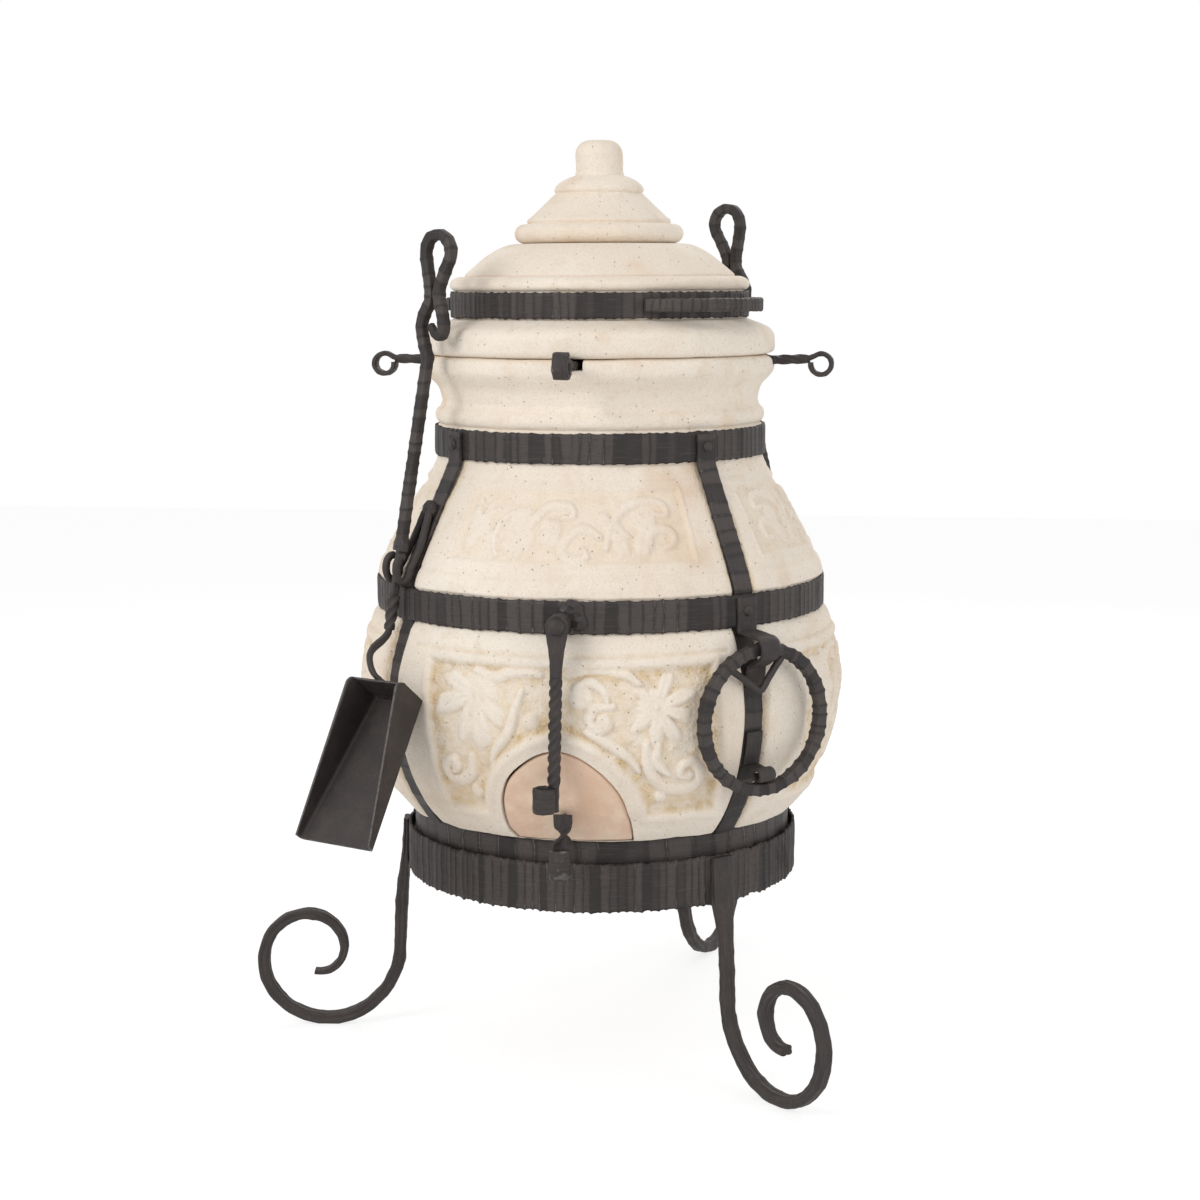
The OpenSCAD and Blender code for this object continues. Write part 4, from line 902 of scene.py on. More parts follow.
def turned(name, outline, seed, step=1.7, around=330, wobble=0.5):
    """A thrown clay piece, slightly uneven; its outline starts and ends on the axis or closes."""
    closed = outline[0][0] > 1
    path = evenly(np.concatenate([outline, outline[:1]]) if closed else outline, step)
    if closed:
        path = path[:-1]
    n = len(path)
    az = np.linspace(0, 2 * math.pi, around, endpoint=False)
    rings = np.stack([path[:, :1] * np.sin(az), -path[:, :1] * np.cos(az),
                      np.repeat(path[:, 1:], around, 1)], -1)
    flat = rings.reshape(-1, 3)
    out = np.repeat(np.clip(path[:, 0] / 20, 0, 1), around)
    push = (smooth_noise(flat, 70, seed) * wobble + smooth_noise(flat, 16, seed + 1) * 0.16) * out
    radius = np.hypot(flat[:, 0], flat[:, 1]) + 1e-9
    flat[:, :2] *= (1 + push / radius)[:, None]
    i, j = np.meshgrid(np.arange(n if closed else n - 1), np.arange(around), indexing="ij")
    i2, j2 = (i + 1) % n, (j + 1) % around
    faces = np.stack([i * around + j, i2 * around + j, i2 * around + j2, i * around + j2], -1)
    return joined_up(add_object(name, make_mesh(name, flat * MM, faces.reshape(-1, 4))))


# ---------- stand ----------

def ring_path(r, z):
    """A level circle with a point about every 3 mm."""
    count = int(2 * math.pi * r / 3)
    return np.array([at(a, r, 0, z) for a in np.linspace(0, 360, count, endpoint=False)])


def hoop(name, body, r_in, r_out, z, h, seed, depth=0.8, spacing=12.5, ragged=0.7):
    """A hammered band, strokes right across it and slightly ragged edges."""
    path = ring_path((r_in + r_out) / 2, z + h / 2)
    wide = h + smooth_noise(path, 0.016, seed) * ragged
    iron(name, body, name, path, wide, r_out - r_in, UP, closed=True, step=1.4, corner=0.07, around=28,
         depth=depth, spacing=spacing, flutes=1.0, seed=seed)


hoop("stand_ring", "stand", RING_RI, RING_RO, STAND_H, RING_H, 11, depth=1.15, spacing=9.5, ragged=1.4)
hoop("base_band", "pot", FOOT_R + 0.2, FOOT_R + 3.8, 241, 45, 12, depth=0.3, spacing=26, ragged=0.2)
hoop("belly_band", "pot", BELLY_SEAT_R + 0.2, BELLY_RO, BELLY_Z, 36, 13)
hoop("neck_band", "pot", NECK_SEAT_R + 0.2, NECK_RO, NECK_Z, 34, 14)
hoop("lid_band", "lid", 170.2, LID_BAND_RO, 858.3, 29, 15, spacing=10)

LEG_R, LEG_BAR, TONGUE_W = 239.3, 15, 28
SCROLL_REACH, SCROLL_END = 102, 24


def leg_line(tip):
    """The (radius, height) line of a leg from its tongue to its scroll's end, and half its depth there."""
    k = np.linspace(0, 1, 60)
    radius = SCROLL_END + (SCROLL_REACH - SCROLL_END) * (1 - k) ** 1.35
    a = np.radians(180 + 455 * k)
    scroll = np.stack([LEG_R + LEG_BAR / 2 + SCROLL_REACH + radius * np.cos(a), radius * np.sin(a)], 1)
    scroll[:, 1] += LEG_BAR / 2 - 0.5 - scroll[:, 1].min()
    top = np.array([[235.5, STAND_H + RING_H - 2], [236, STAND_H + RING_H / 2],
                    [238.5, STAND_H - 6], [243.5, STAND_H - 50]])
    half = np.concatenate([[3.5, 4.2, 6.2, LEG_BAR / 2], LEG_BAR / 2 * (1 - (1 - tip) * k ** 3)])
    return np.concatenate([top, scroll]), half


def leg(name, az, seed, tip=0.6):
    """A leg; tip is how thick the scroll still is at its end."""
    line, half = leg_line(tip)
    smooth = through(np.concatenate([line, half[:, None]], 1), 4)
    z = smooth[:, 1]
    upright = np.arange(len(z)) < 30
    wide = np.where(upright, np.interp(z, [STAND_H - 36, STAND_H + 2], [LEG_BAR, TONGUE_W]), LEG_BAR)
    bar = forged(name, stand_up(smooth[:, :2], az), wide * MM, smooth[:, 2] * 1.96 * MM, along(az),
                 corner=0.22, around=44, step=0.002, depth=0.85 * MM, spacing=17 * MM, across=0.8,
                 fold=0.8 * MM, seed=seed)
    mesh = bar.data
    points = np.empty(len(mesh.vertices) * 3, np.float32)
    mesh.vertices.foreach_get("co", points)
    points = points.reshape(-1, 3)
    points[:, 2] = np.maximum(points[:, 2], 0.0001)
    mesh.vertices.foreach_set("co", points.ravel())
    return settle(bar, "stand", IRON, name)


leg("leg_right", 44, 21, tip=0.8)
leg("leg_left", -82, 22, tip=0.35)
leg("leg_back", 163, 23)

# ---------- pot ----------

OUT_LOW = np.concatenate([[[FOOT_R, 282], [FOOT_R, 286.2]], LOWER_CURVE, UPPER_CURVE[1:],
                          [[265, 519], [261, 522.5], [260, 524], [260, 541]]])
OUT_SHOULDER = np.concatenate([[[260, 541], [260, 559.5], [262.5, 562]], SHOULDER_CURVE,
                               [[197, 684], [193.5, 690], [190.5, 699], [190, 717]]])
OUT_NECK = np.concatenate([[[190, 717], [190, 734.5]], arc((181.5, 746), 11, -62, 62, 12),
                           through([(184.5, 763), (189, 778), (199, 790), (204, 798), (204, 806),
                                    (203, 810), (200, 813)], 5), [[195, 815]]])
FRONT, SIDES = [(-48, 46)], [(46, 134), (134, 226), (226, 312)]
front = pot_wall("pot_front", OUT_LOW, FRONT, 1.75, 1.75)
hole = arch_outline(HOLE_W, HOLE_H)
cut(front, prism("hole_cutter", hole, lambda x, z, k: (x * MM, (-160 - 170 * k) * MM, (z + HOLE_Z) * MM)))
settle(front, "pot", CLAY, "pot_body")
settle(pot_wall("pot_flanks", OUT_LOW, SIDES, 2.5, 2.7), "pot", CLAY, "pot_body")
settle(pot_wall("pot_shoulder", OUT_SHOULDER, FRONT + SIDES, 2.0, 2.2), "pot", CLAY, "pot_body")
neck = pot_wall("pot_neck", OUT_NECK, [(-48, 312)], 1.8, 3.2, strapped=False)
NOTCH = [(-13, 803), (13, 803), (13, 825), (-13, 825)]
notches = []
for turn in (0, 90, 180, 270):
    spin = Matrix.Rotation(math.radians(turn), 3, "Z")
    notches.append(prism("notch_cutter", NOTCH, lambda x, z, k, spin=spin:
                         tuple(spin @ Vector((x * MM, (-145 - 80 * k) * MM, z * MM)))))
cut(neck, *notches)
settle(neck, "pot", CLAY, "pot_body")
foot_line = [(0, 240), (215, 240), (219, 241.5), (FOOT_R, 245), (FOOT_R, 282), (180, 282), (176, 288),
             (0, 288)]
settle(turned("pot_foot", foot_line, 31, step=4, around=160), "pot", CLAY, "pot_body")

for name, az, seed in (("strap_front_left", -48, 41), ("strap_front_right", 46, 42),
                       ("strap_back_left", -134, 43), ("strap_back_right", 134, 44)):
    middle = offset_path(STRAP_PATH, STRAP_T / 2)
    side_sway = smooth_noise(stand_up(middle, az), 0.12, seed)[:, None] * along(az) * 0.4 * MM
    iron(name, "pot", name, stand_up(middle, az) + side_sway, STRAP_W, STRAP_T, along(az), corner=0.1,
         around=32, step=2, depth=0.6, spacing=17, flutes=0.8, seed=seed)

rivet_spots = [(at(az, NECK_RO + 4.6, 0, 717), radial(az), 5.8, 3.4) for az in STRAPS]
rivet_spots += [(at(az, BELLY_RO + 4.4, 0, 541), radial(az), 6, 3.4) for az in (46, -134)]
lumps("band_rivets", "band_rivets", rivet_spots, 0.06, 1.0)

# ---------- latch ----------

LATCH_R, LATCH_Z, LATCH_LEN, LATCH_TILT = 298.5, 537, 202, 1.5


def hung(points):
    """Points drawn hanging straight down, brought to the pin and tilted on it."""
    spin = np.array(Matrix.Rotation(math.radians(LATCH_TILT), 3, "Y"))
    return (np.array(points, float) @ spin.T + (0, -LATCH_R, LATCH_Z)) * MM


iron("latch_stud_boss", "pot", "latch_stud", [at(0, 264, 0, LATCH_Z), at(0, 294, 0, LATCH_Z)], 21, 21, UP,
     corner=0.36, depth=0.7, spacing=8, seed=51)
iron("latch_stud_pin", "pot", "latch_stud", [at(0, 291, 0, LATCH_Z), at(0, 304, 0, LATCH_Z)], 9.6, 9.6, UP,
     corner=0.45, depth=0.1, spacing=8, seed=52)
lumps("latch_stud_head", "latch_stud", [(at(0, 303.4, 0, LATCH_Z), radial(0), 9.2, 8)], 0.1, 3.0)
lumps("latch_weld", "latch_stud", [(at(2.4, 265, 0, LATCH_Z + 11), radial(2.4), 13, 3.5),
                                   (at(4.0, 265, 0, LATCH_Z - 1), radial(4), 9, 4)], 0.24, 5.0)

eye_z = np.concatenate([12.3 * np.cos(np.linspace(0, math.pi / 2 + 0.3, 14)), [-14, -24, -40, -58]])
eye_w = np.concatenate([2 * np.sqrt(np.maximum(12.5 ** 2 - eye_z[:14] ** 2, 4)), [21.5, 17.5, 13.6, 12]])
iron("latch_eye", "latch", "latch_bar", hung([(0, 0, z) for z in eye_z]), eye_w,
     np.interp(eye_z, [-58, -20, 12.5], [9.5, 7.6, 7.4]), (1, 0, 0), corner=0.16, step=1.4,
     depth=0.35, spacing=9, seed=53)
twist_z = np.linspace(-56, -174, 60)
iron("latch_twist", "latch", "latch_bar", hung([(0, 0, z) for z in twist_z]), 11.4, 11.4, (1, 0, 0),
     turn=np.radians(np.linspace(0, 900, 60)), corner=0.12, step=1.2, depth=0.25, spacing=9, seed=54)
iron("latch_foot", "latch", "latch_bar", hung([(0, 0, -172), (0, 0, -LATCH_LEN + 0.5)]), 11.5, 8.6, (1, 0, 0),
     corner=0.2, depth=0.5, spacing=9, seed=55)
curl = arc((-9, -8), 10, 0, -290, 30)
iron("latch_curl", "latch", "latch_bar", hung([(x, y, -188) for x, y in curl]), 27, 4.6, (0, 0, 1),
     corner=0.14, step=1.4, depth=0.6, spacing=8, seed=56)

# ---------- plug ----------

def plug_mesh():
    """The plug: an evenly thick tile of the pot's own curve, its edges worn round."""
    outline = arch_outline(HOLE_W - 4.4, HOLE_H - 2.6)
    outline = np.concatenate([outline, np.stack([np.linspace(outline[-1, 0], outline[0, 0], 40)[1:-1],
                                                 np.zeros(38)], 1)])
    outline[:, 1] += HOLE_Z + 0.5
    outline = evenly(np.concatenate([outline, outline[:1]]), 1.6)[:-1]
    middle = np.array([0, HOLE_Z + 45.0])
    quarter = np.linspace(0, math.pi / 2, 9)
    shrink = np.concatenate([np.linspace(0, 0.94, 38), 0.94 + 0.06 * np.sin(quarter)[1:]])
    round_off = np.concatenate([np.zeros(38), 1 - np.cos(quarter)[1:]]) * 3.2
    rings = []
    for skin, sign in ((1.6, 1), (30.0, -1)):
        for s, off in zip(shrink, round_off):
            p = middle + s * (outline - middle)
            radius = np.interp(p[:, 1], LOWER_CURVE[:, 1], LOWER_CURVE[:, 0]) - skin - sign * off
            rings.append(np.stack([p[:, 0], -np.sqrt(radius ** 2 - p[:, 0] ** 2), p[:, 1]], 1))
    half = len(shrink)
    rings = rings[:half] + rings[:half - 1:-1]
    points = np.concatenate(rings)
    points[:, 1] += smooth_noise(points, 30, 61) * 0.5 + smooth_noise(points, 8, 62) * 0.15
    n = len(outline)
    i, j = np.meshgrid(np.arange(len(rings) - 1), np.arange(n), indexing="ij")
    j2 = (j + 1) % n
    faces = np.stack([i * n + j, i * n + j2, (i + 1) * n + j2, (i + 1) * n + j], -1).reshape(-1, 4)
    return make_mesh("plug", points * MM, faces)


settle(joined_up(add_object("plug", plug_mesh())), "plug", TERRACOTTA, "plug")
PLUG_STRIP_R, PLUG_ROOT_Z = 270, 323
drop = np.linspace(0, 1, 30)
strip = np.stack([np.zeros(30), -(PLUG_STRIP_R + 2 * drop), PLUG_ROOT_Z + 2.5 - 38 * drop], 1) * MM
iron("plug_handle_strip", "plug", "plug_handle", strip, 20, 5, (1, 0, 0),
     turn=np.radians(180 * soft_step(drop, 0.2, 1)), corner=0.14, step=1.4, depth=0.6, spacing=9, seed=63)
iron("plug_handle_pin", "plug", "plug_handle", [at(0, 234, 0, 320), at(0, PLUG_STRIP_R, 0, 320)], 8, 8, UP,
     corner=0.45, depth=0.1, spacing=8, seed=64)
curl = arc((-3, -PLUG_STRIP_R - 2), 10, 0, -290, 30)
curl = np.array([(x, y, PLUG_ROOT_Z - 51.5) for x, y in curl]) * MM
iron("plug_handle_curl", "plug", "plug_handle", curl, 32, 4.8, UP, corner=0.14, step=1.4, depth=0.9,
     spacing=8, rub=0.3, seed=65)

# ---------- ring handles ----------

GRIP_R, GRIP_Z, GRIP_MID, GRIP_BAR, BOW_R = 294, 502, 78, 14, 10.8


def ring_handle(name, body, az, shift, slip, seed):
    """A carrying ring and the V bar across its top; slip is how far the V has turned in the ring."""
    centre = at(az, GRIP_R, 0, GRIP_Z - GRIP_MID) + shift

    def point(x, z):
        return centre + (x * along(az) + z * UP) * MM

    angles = np.radians(np.linspace(0, 360, 200, endpoint=False))
    circle = np.array([point(GRIP_MID * math.cos(a), GRIP_MID * math.sin(a)) for a in angles])
    thick = 13.6 + smooth_noise(circle, 0.02, seed) * 0.5
    iron(name, body, name, circle, GRIP_BAR * 0.96, thick, radial(az), closed=True, corner=0.17, around=36,
         step=1.6, depth=1.15, spacing=13, flutes=0.9, seed=seed)
    spin = math.radians(slip)
    v = [(-39, 67.5), (-20, 51), (-5, 35), (0, 33), (5, 35), (20, 51), (39, 67.5)]
    v = [(x * math.cos(spin) - z * math.sin(spin), x * math.sin(spin) + z * math.cos(spin)) for x, z in v]
    iron(name + "_spike", body, name, [point(x, z) for x, z in through(v, 5)], 7, 8, radial(az),
         corner=0.4, depth=0.4, spacing=9, seed=seed + 1)


ring_handle("ring_handle_right", "ring_right", 41, (radial(46) - radial(41)) * GRIP_R * MM, 8, 71)
ring_handle("ring_handle_left", "ring_left", -134, np.zeros(3), 8, 73)

for name, az, seed in (("ring_bracket_right", 46, 75), ("ring_bracket_left", -134, 76)):
    plate, tip = BELLY_RO + 2.2, strap_r(GRIP_Z - 42) + 2.2
    c = np.array([GRIP_R, GRIP_Z])
    line = np.concatenate([[[plate, BELLY_TOP - 3], [plate, BELLY_Z - 1]],
                           bezier((plate + 1, BELLY_Z - 5), (plate + 8, GRIP_Z + BOW_R + 5),
                                  c + (-8, BOW_R + 3), c + (0, BOW_R + 2), 8),
                           arc(c, BOW_R + 2, 90, -75, 24)[1:],
                           [[tip + 4, GRIP_Z - BOW_R - 10], [tip, GRIP_Z - 42]]])
    iron(name, "pot", name, stand_up(line, az), 26, 3.8, along(az), corner=0.12, around=32, step=1.8,
         depth=0.6, spacing=12, across=0.5, seed=seed)

for name, az, seed in (("ring_rest_right", 46, 77), ("ring_rest_left", -134, 78)):
    c = np.array([GRIP_R + 2, GRIP_Z - 2 * GRIP_MID + GRIP_BAR / 2 + 9.3])
    line = [(strap_r(z) + 2.3, z) for z in c[1] + 46 - 6.5 * np.arange(7)]
    line = np.concatenate([line, [c + (-9.5, 4.5)], arc(c, 6.5, 115, -190, 26)])
    iron(name, "pot", name, stand_up(line, az), 22, 3.5, along(az), corner=0.14, around=28, step=1.6,
         depth=0.4, spacing=9, seed=seed)

# ---------- fire tools ----------

FORK_Z, FORK_R, FORK_SIDE, PRONG = 581, BULGE_R - 15.5, 12, 9
CURL_R, CURL_H, TOOL_BAR = 8.5, 14, 12
SHOVEL_TOP, POKER_TOP, POKER_LEAN, LOOP_TURN = 376, 412, 27, 15
SHOULDER_Z = FORK_Z + CURL_H + PRONG / 2 + 0.3
NECK_LOW = FORK_Z - CURL_H - PRONG / 2 - 14
TWIST_LOW = NECK_LOW - 36
LOOP_H = 133 + TOOL_BAR / 2
TOOL_SLOPE = (FORK_R - (RIM_R + 25)) / (SHOVEL_TOP - LOOP_H)
LOOP = [(5, 34), (12, 25), (20, 21), (26, 30), (24, 46), (20, 60), (20, 74), (29, 92), (38, 108),
        (38, 120), (30, 130), (18, 133), (6, 128), (0, 114), (2, 96), (5.5, 76), (5, 60), (-4, 46),
        (-9, 32), (-6, 14), (0, -4)]


def fork(name, az, seed):
    """Two prongs that leave a knot on the strap and curl upwards to hold a tool."""
    knot_z, out = FORK_Z + 64, PRONG / 2 + 1.2
    line = through([(strap_r(knot_z) + out + 2, knot_z), (strap_r(FORK_Z + 42) + out, FORK_Z + 42),
                    (strap_r(FORK_Z + 20) + out, FORK_Z + 20), (FORK_R - CURL_R, FORK_Z)], 4)
    turn = np.radians(np.arange(180, 461, 10))
    curled = np.stack([FORK_R + CURL_R * np.cos(turn), FORK_Z + CURL_H * np.sin(turn)], 1)
    for s, label in ((-1, "a"), (1, "b")):
        spread = np.minimum(1, 0.35 + np.arange(len(line) - 1) / 12)
        path = [at(az, r, s * FORK_SIDE * k, z) for (r, z), k in zip(line, spread)]
        path += [at(az, r, s * FORK_SIDE, z) for r, z in curled]
        iron(f"{name}_{label}", "pot", name, path, 8.6, 8.6, along(az), corner=0.42, step=1.4, around=20,
             depth=0.35, spacing=8, seed=seed + s)
    knot = (at(az, strap_r(knot_z) + 5, 0, knot_z), radial(az), 10, 8)
    lumps(name + "_knot", name, [knot], 0.22, float(seed))


fork("shovel_hanger", -48, 81)
fork("poker_hanger", 134, 84)


def tool_at(az, lean, z):
    """The middle of a tool's shank at a height."""
    side = lean * max(0, z - SHOULDER_Z) / (SHOVEL_TOP - LOOP_H)
    return at(az, FORK_R - TOOL_SLOPE * (z - FORK_Z), side, z)


def tool_shank(name, body, node, az, top_up, lean, seed):
    """Loop grip, shank, shoulder, neck and twist of a fire tool."""
    turn = math.radians(LOOP_TURN)
    side = math.cos(turn) * along(az) - math.sin(turn) * radial(az)
    through_loop = math.cos(turn) * radial(az) + math.sin(turn) * along(az)
    bend_z = FORK_Z + SHOVEL_TOP - LOOP_H
    rise = top_up - SHOVEL_TOP
    top = tool_at(az, lean, bend_z)
    path = [top + ((rise + z) * UP + x * side) * MM for x, z in through(LOOP, 5)]
    path += [tool_at(az, lean, z) for z in np.linspace(bend_z - 14, SHOULDER_Z + 6, 30)]
    thick = TOOL_BAR * np.minimum(1, 0.6 + 0.03 * np.arange(len(path)))
    iron(name + "_shank", body, node, path, thick, thick, through_loop, corner=0.18, step=1.8, depth=0.65,
         spacing=13, flutes=0.75, seed=seed)
    iron(name + "_shoulder", body, node, [tool_at(az, lean, SHOULDER_Z + v) for v in (0.6, 4, 8, 13, 18)],
         [24, 24, 24, 18, 12], [8.6, 8.8, 9.4, 11, 12], along(az), corner=0.2, step=1.4, depth=0.4,
         spacing=9, seed=seed + 1)
    iron(name + "_neck", body, node, [tool_at(az, lean, SHOULDER_Z + 1), tool_at(az, lean, NECK_LOW)],
         8.6, 8.6, along(az), corner=0.2, depth=0.3, spacing=9, seed=seed + 2)
    z = np.linspace(NECK_LOW + 2, TWIST_LOW, 40)
    size = TOOL_BAR + 0.5 - 3 * np.linspace(0, 1, 40)
    iron(name + "_twist", body, node, [tool_at(az, 0, v) for v in z], size, size, along(az),
         turn=np.radians(np.linspace(0, 270, 40)), corner=0.14, step=1.2, depth=0.25, spacing=9,
         seed=seed + 3)


tool_shank("shovel", "shovel", "shovel_handle", -48, SHOVEL_TOP, 0, 91)
tool_shank("poker", "poker", "poker", 134, POKER_TOP, POKER_LEAN, 95)

BLADE_AZ, BLADE_FACING, BLADE_TILT = -40, -25, 38
BLADE_LEN, BLADE_BACK, BLADE_TIP, BLADE_WALL, TIP_WALL, SHEET = 180.2, 67, 102, 54, 10, 2
BLADE_R, BLADE_Z = BULGE_R + 10, BULGE_Z + 8
BLADE_TURN = np.array(Matrix.Rotation(math.radians(BLADE_FACING), 3, "Z") @
                      Matrix.Rotation(math.radians(-BLADE_TILT), 3, "X"))


def on_blade(points):
    """Points drawn on a level blade, in millimetres, brought to where it hangs."""
    return np.array(points, float) @ BLADE_TURN.T * MM + at(BLADE_AZ, BLADE_R, 0, BLADE_Z)


hold = on_blade([(0, -27, 0.2)])[0]
blade_up = on_blade([(0, 0, 1)])[0] - on_blade([(0, 0, 0)])[0]
bend = through([tool_at(-48, 0, TWIST_LOW + 1), at(-48, BLADE_R - 5, 7, BLADE_Z + 66),
                at(-48, BLADE_R + 21, 20, BLADE_Z + 52), at(-48, BLADE_R + 26, 35, BLADE_Z + 33),
                hold + 1.5 * blade_up], 8)
iron("shovel_neck_bend", "shovel", "shovel_handle", bend, 9.8, 9.8, along(-48), corner=0.4, step=1.6,
     depth=0.4, spacing=9, seed=99)

TIP_CURVE = [tool_at(134, 0, TWIST_LOW + 1), at(134, BULGE_R + 6, 0, TWIST_LOW - 24),
             at(134, BULGE_R + 14, 0, BULGE_Z + 24), at(134, BULGE_R + 16, 0, BULGE_Z - 40),
             at(134, BULGE_R + 14, 0, 340), at(134, BULGE_R + 18, 0, 318), at(134, BULGE_R + 36, 0, 306)]
hook = through(TIP_CURVE, 6)
iron("poker_hook", "poker", "poker", hook, np.linspace(10.6, 6, len(hook)), np.linspace(9.8, 8, len(hook)),
     along(134), corner=0.26, depth=0.5, spacing=11, seed=103)


def blade_sheet():
    """The shovel's bent sheet, as its outer skin: sections from the back to the tip, and the back wall."""
    points, faces, wear = [], [], []
    corner = 0.2 * BLADE_WALL
    lengths = np.concatenate([np.linspace(0, corner, 7), np.linspace(corner, BLADE_LEN, 46)[1:]])
    for d in lengths:
        b = BLADE_BACK / 2 + (BLADE_TIP - BLADE_BACK) / 2 * d / BLADE_LEN
        h = np.interp(d, [corner, BLADE_LEN], [BLADE_WALL, TIP_WALL])
        if d < corner:
            h = BLADE_WALL - corner + math.sqrt(max(0, corner ** 2 - (corner - d) ** 2))
        r = min(4.5, h - 1)
        left = [(-b, -v) for v in np.linspace(h, r, 10)]
        bow = [(-b + r - r * math.cos(a), -r + r * math.sin(a)) for a in np.radians((22, 45, 67))]
        floor = [(x, 0) for x in np.linspace(-b + r, b - r, 22)]
        section = left + bow + floor + [(-x, y) for x, y in bow[::-1]] + [(-x, y) for x, y in left[::-1]]
        points += [(x, y, -d) for x, y in section]
        # painted highlight along the sheet's upper rim and its tip
        wear += [0.85 * max(math.exp(-(h + y) / 1.5), math.exp(-(BLADE_LEN - d) / 1.5)) for x, y in section]
    n = len(section)
    for i in range(len(lengths) - 1):
        faces += [(i * n + j, i * n + j + 1, (i + 1) * n + j + 1, (i + 1) * n + j) for j in range(n - 1)]
    # the back wall fills the first section
    faces += [(j + 1, j, n - 1 - j, n - 2 - j) for j in range(n // 2 - 1)]
    return make_mesh("shovel_blade", on_blade(points), faces, {"wear": wear})


blade = joined_up(add_object("shovel_blade", blade_sheet()))
sheet = blade.modifiers.new("sheet", "SOLIDIFY")
sheet.thickness = SHEET * MM
sheet.offset = 0
sheet.use_even_offset = True
settle(evaluated(blade), "shovel", IRON, "shovel_blade")

# ---------- food hanger ----------

HANGER_REACH, HANGER_W, HANGER_H, HANGER_CURL_R = 274, 12, 10, 15
HANGER_Z = RIM_Z - HANGER_H - 1.7


def hanger_bar(name, az, rise, seed):
    """A bar across the mouth; rise lifts its twisted, curled ends."""
    mid = HANGER_Z + HANGER_H / 2
    across = along(az)
    iron(name, "cross_hanger", name, [at(az, -(RIM_R + 4), 0, mid), at(az, RIM_R + 4, 0, mid)],
         HANGER_W, 9.6, across, corner=0.16, depth=0.5, spacing=12, seed=seed)
    start, end = RIM_R + 2, HANGER_REACH - 2 * HANGER_CURL_R + 2
    k = np.linspace(0, 1, 24)
    for s, label in ((1, "a"), (-1, "b")):
        path = [at(az, s * (start + (end - start) * v), 0, mid + rise * v) for v in k]
        iron(f"{name}_twist_{label}", "cross_hanger", name, path, 9.6, 8.2, across,
             turn=np.radians(180 * k), corner=0.14, step=1.2, depth=0.3, spacing=8, seed=seed + 1)
        c = (HANGER_REACH - HANGER_CURL_R, mid + rise - HANGER_CURL_R + 9)
        line = np.concatenate([[[end - 2, mid + rise]], arc(c, HANGER_CURL_R - 3, 130, -190, 40)[1:]])
        path = [at(az, s * r, 0, z) for r, z in line]
        wide = np.interp(np.arange(len(line)), [0, 6], [10, 17.4])
        iron(f"{name}_curl_{label}", "cross_hanger", name, path, wide, 5.6, across, corner=0.16, step=1.3,
             depth=0.5, spacing=8, rub=0.2, seed=seed + 2)


hanger_bar("hanger_bar_side", 90, 1, 111)
hanger_bar("hanger_bar_front", 0, 8, 115)

# ---------- lid and cap ----------

LID_Z, LID_R, LID_SEAT, LID_TOP, LID_BAND_Z, LID_BAND_H = 815.3, 204, 170, 942.3, 858.3, 29
LID_HOLE, CAP_R, CAP_Z, CAP_H, KNOB_R = 75, 98, 942.6, 118, 27.5
LID_ROLL_Z = LID_BAND_Z + LID_BAND_H
lid_line = np.concatenate([
    through([(LID_R - 10, LID_Z), (LID_R - 3.5, LID_Z + 2), (LID_R - 0.6, LID_Z + 5.5), (LID_R, LID_Z + 10),
             (LID_R, LID_Z + 16)], 4),
    bezier((LID_R - 0.5, LID_Z + 22), (LID_R - 4, LID_Z + 33),
           (LID_SEAT + 16, LID_Z + 34), (LID_SEAT - 1, LID_Z + 42), 16),
    [[LID_SEAT - 0.5, LID_BAND_Z + 1], [LID_SEAT - 0.5, LID_ROLL_Z], [LID_SEAT - 2, LID_ROLL_Z + 1]],
    through([(LID_SEAT + out, LID_ROLL_Z + up) for out, up in (
        (0.5, 1.8), (4, 5), (4.6, 9), (2, 13.5), (-5, 17), (-10, 17), (-14, 14), (-12.6, 18.8))], 6),
    bezier((LID_SEAT - 15, LID_ROLL_Z + 21.5), (LID_SEAT - 27, LID_ROLL_Z + 31), (CAP_R + 32, LID_TOP - 9),
           (CAP_R + 9, LID_TOP - 1.5), 16),
    [[CAP_R + 2, LID_TOP - 0.4], [LID_HOLE + 2, LID_TOP - 0.4],
     [LID_HOLE, LID_TOP - 3], [LID_HOLE, LID_TOP - 30],
     [LID_SEAT - 40, LID_BAND_Z + LID_BAND_H - 4], [LID_SEAT - 26, LID_BAND_Z], [LID_R - WALL, LID_Z]]])
settle(turned("lid_body", lid_line, 121, step=1.7, wobble=0.45), "lid", CLAY, "lid_body")
STEP_R, KNOB_Z = KNOB_R + 24, CAP_Z + 78
cap_line = np.concatenate([
    [[0, CAP_Z - 12], [LID_HOLE - 8, CAP_Z - 12], [LID_HOLE - 5, CAP_Z - 9], [LID_HOLE - 5, CAP_Z],
     [CAP_R - 9, CAP_Z]],
    arc((CAP_R - 11, CAP_Z + 11), 11, -80, 84, 16),
    through([(CAP_R - 14, CAP_Z + 21.4), (CAP_R - 15.5, CAP_Z + 22.5), (CAP_R - 14.6, CAP_Z + 25),
             (CAP_R - 16, CAP_Z + 28)], 4),
    bezier((CAP_R - 19, CAP_Z + 30), (STEP_R + 20, CAP_Z + 36),
           (STEP_R + 9, CAP_Z + 47), (STEP_R - 1, CAP_Z + 57), 10),
    through([(STEP_R - 2, CAP_Z + 57.6), (STEP_R, CAP_Z + 60), (STEP_R - 0.6, CAP_Z + 64),
             (STEP_R - 6, CAP_Z + 70), (KNOB_R + 9, CAP_Z + 75), (KNOB_R + 1.5, KNOB_Z - 0.5)], 4),
    [[KNOB_R, KNOB_Z + 5]],
    arc((KNOB_R - 16, CAP_Z + CAP_H - 16), 16, 0, 90, 10), [[0, CAP_Z + CAP_H]]])
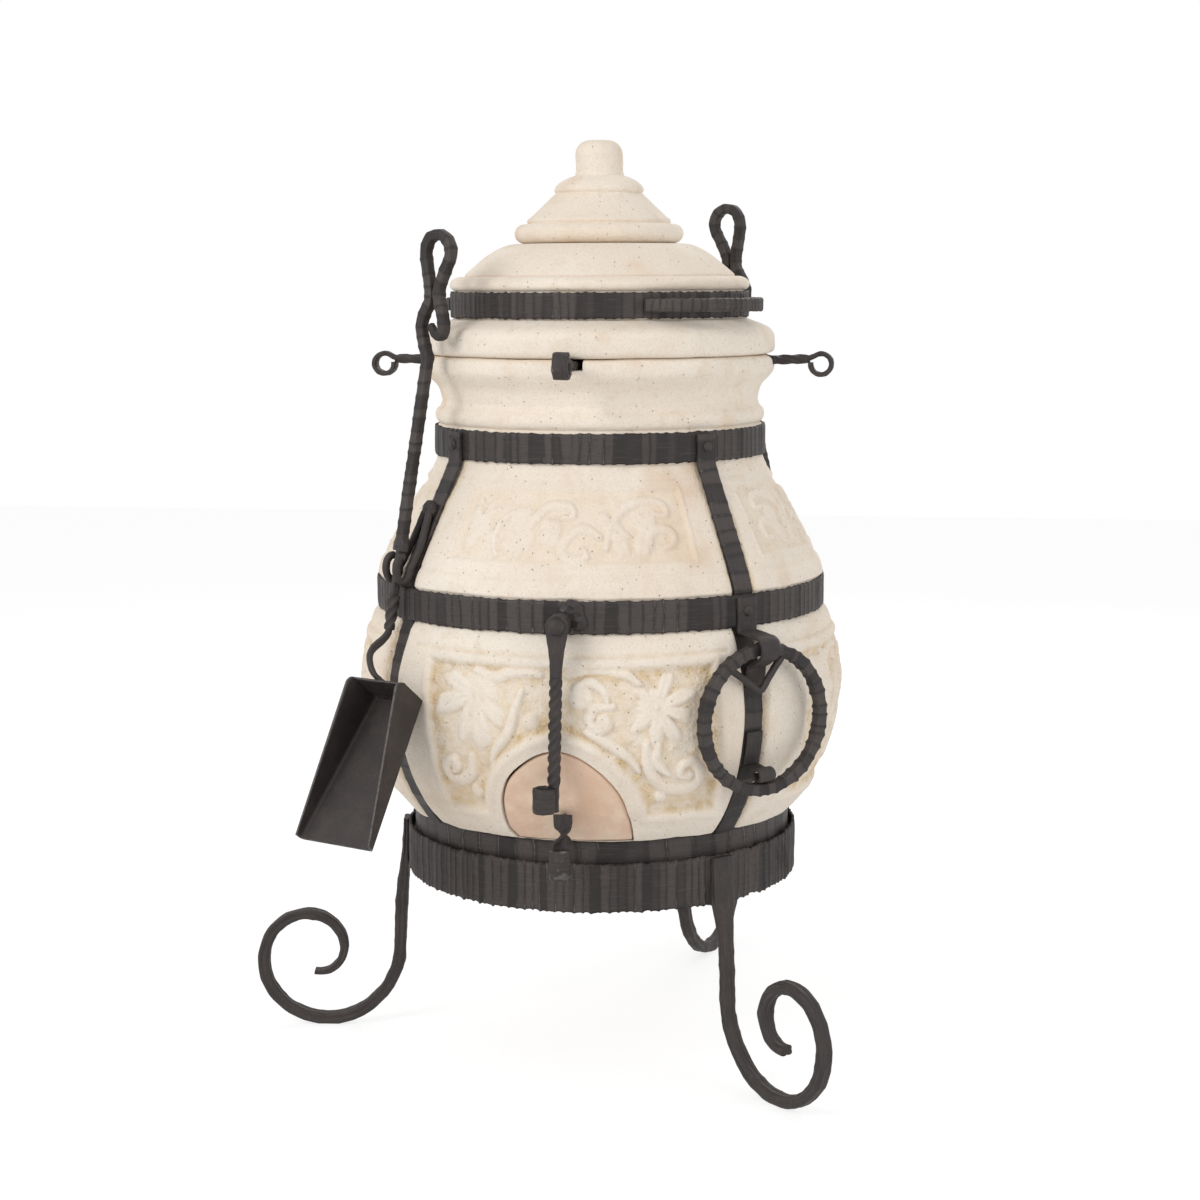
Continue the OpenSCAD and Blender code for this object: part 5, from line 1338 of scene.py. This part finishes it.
settle(turned("cap", cap_line, 125, step=1.3, around=260, wobble=0.6), "cap", CLAY, "cap")

for name, az, seed in (("lid_handle_right", 55, 131), ("lid_handle_left", 235, 132)):
    turn = np.linspace(-30, 30, 61)
    k = soft_step(30 - np.abs(turn), 0, 15)
    r = LID_BAND_RO + 0.4 + 22 * k + 6
    path = [at(az + a, v, 0, LID_BAND_Z + LID_BAND_H / 2) for a, v in zip(turn, r)]
    wide = 14.6 + smooth_noise(np.array(path), 0.02, seed) * 0.4
    iron(name, "lid", name, path, wide, np.interp(k, [0, 1], [9.5, 11.8]), UP, corner=0.2, step=1.5,
         depth=0.7, spacing=9.5, flutes=1.0, seed=seed)

for node, material in (("pot_rest", IRON), ("hanger_rivet", IRON), ("grate", GRATE_IRON)):
    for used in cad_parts[node].material_slots:
        used.material = material

# ---------- camera, light and floor ----------

CAMERA_AWAY, CAMERA_UP, CAMERA_AZ = 2.640, 0.9002, math.radians(9)
CAMERA_TURNS = ((9.02, "Z"), (81.87, "X"), (-0.23, "Z"))
camera_data = bpy.data.cameras.new("camera")
camera_data.lens, camera_data.sensor_width = 67.14, 36
camera = add_object("camera", camera_data)
camera.location = (CAMERA_AWAY * math.sin(CAMERA_AZ), -CAMERA_AWAY * math.cos(CAMERA_AZ), CAMERA_UP)
yaw, pitch, roll = (Matrix.Rotation(math.radians(angle), 4, axis) for angle, axis in CAMERA_TURNS)
camera.rotation_euler = (yaw @ pitch @ roll).to_euler()
bpy.context.scene.camera = camera


def lamp(name, place, aim, size, power):
    data = bpy.data.lights.new(name, "AREA")
    data.shape, data.size, data.energy = "DISK", size, power
    light = add_object(name, data)
    light.location = place
    light.rotation_euler = (Vector(aim) - Vector(place)).to_track_quat("-Z", "Y").to_euler()


lamp("key", (-1.7, -2.3, 2.3), (0, 0, 0.5), 1.6, 38)
lamp("fill", (2.6, -1.8, 1.4), (0, 0, 0.5), 2.0, 17)
lamp("back", (0.6, 2.6, 2.2), (0, 0, 0.6), 1.8, 22)


def shown_white(tree):
    """1 for rays that look at the background, straight or in a gloss."""
    rays = tree.add("ShaderNodeLightPath", out="Is Camera Ray")
    gloss = rays.math("MAXIMUM", rays.out("Is Glossy Ray"))
    return gloss.math("MAXIMUM", rays.out("Is Transmission Ray"))


world = bpy.data.worlds.new("studio")
world.use_nodes = True
bpy.context.scene.world = world
studio = Tree(world.node_tree)
seen = shown_white(studio)
backdrop = world.node_tree.nodes["Background"]
backdrop.inputs["Color"].default_value = (1, 1, 1, 1)
studio.feed(backdrop.inputs["Strength"], 0.62 + 0.38 * seen)

FLOOR_HALF, FLOOR_Z = 6, -0.0004

ground = bpy.data.materials.new("pale floor")
ground.use_nodes = True
paving = Tree(ground.node_tree)
matt = paving.add("ShaderNodeBsdfDiffuse", None, {"Color": (0.85, 0.85, 0.85, 1)})
glow = paving.add("ShaderNodeEmission", None, {"Color": (1, 1, 1, 1), "Strength": 1.24})
both = paving.add("ShaderNodeMixShader", None, {0: 0.62 * shown_white(paving), 1: matt, 2: glow})
paving.feed(ground.node_tree.nodes["Material Output"].inputs["Surface"], both)
corners = [(x * FLOOR_HALF, y * FLOOR_HALF, FLOOR_Z) for x, y in ((-1, -1), (1, -1), (1, 1), (-1, 1))]
floor = add_object("floor", make_mesh("floor", corners, [(0, 1, 2, 3)]))
floor.data.materials.append(ground)

bpy.context.scene.view_settings.view_transform = "Standard"
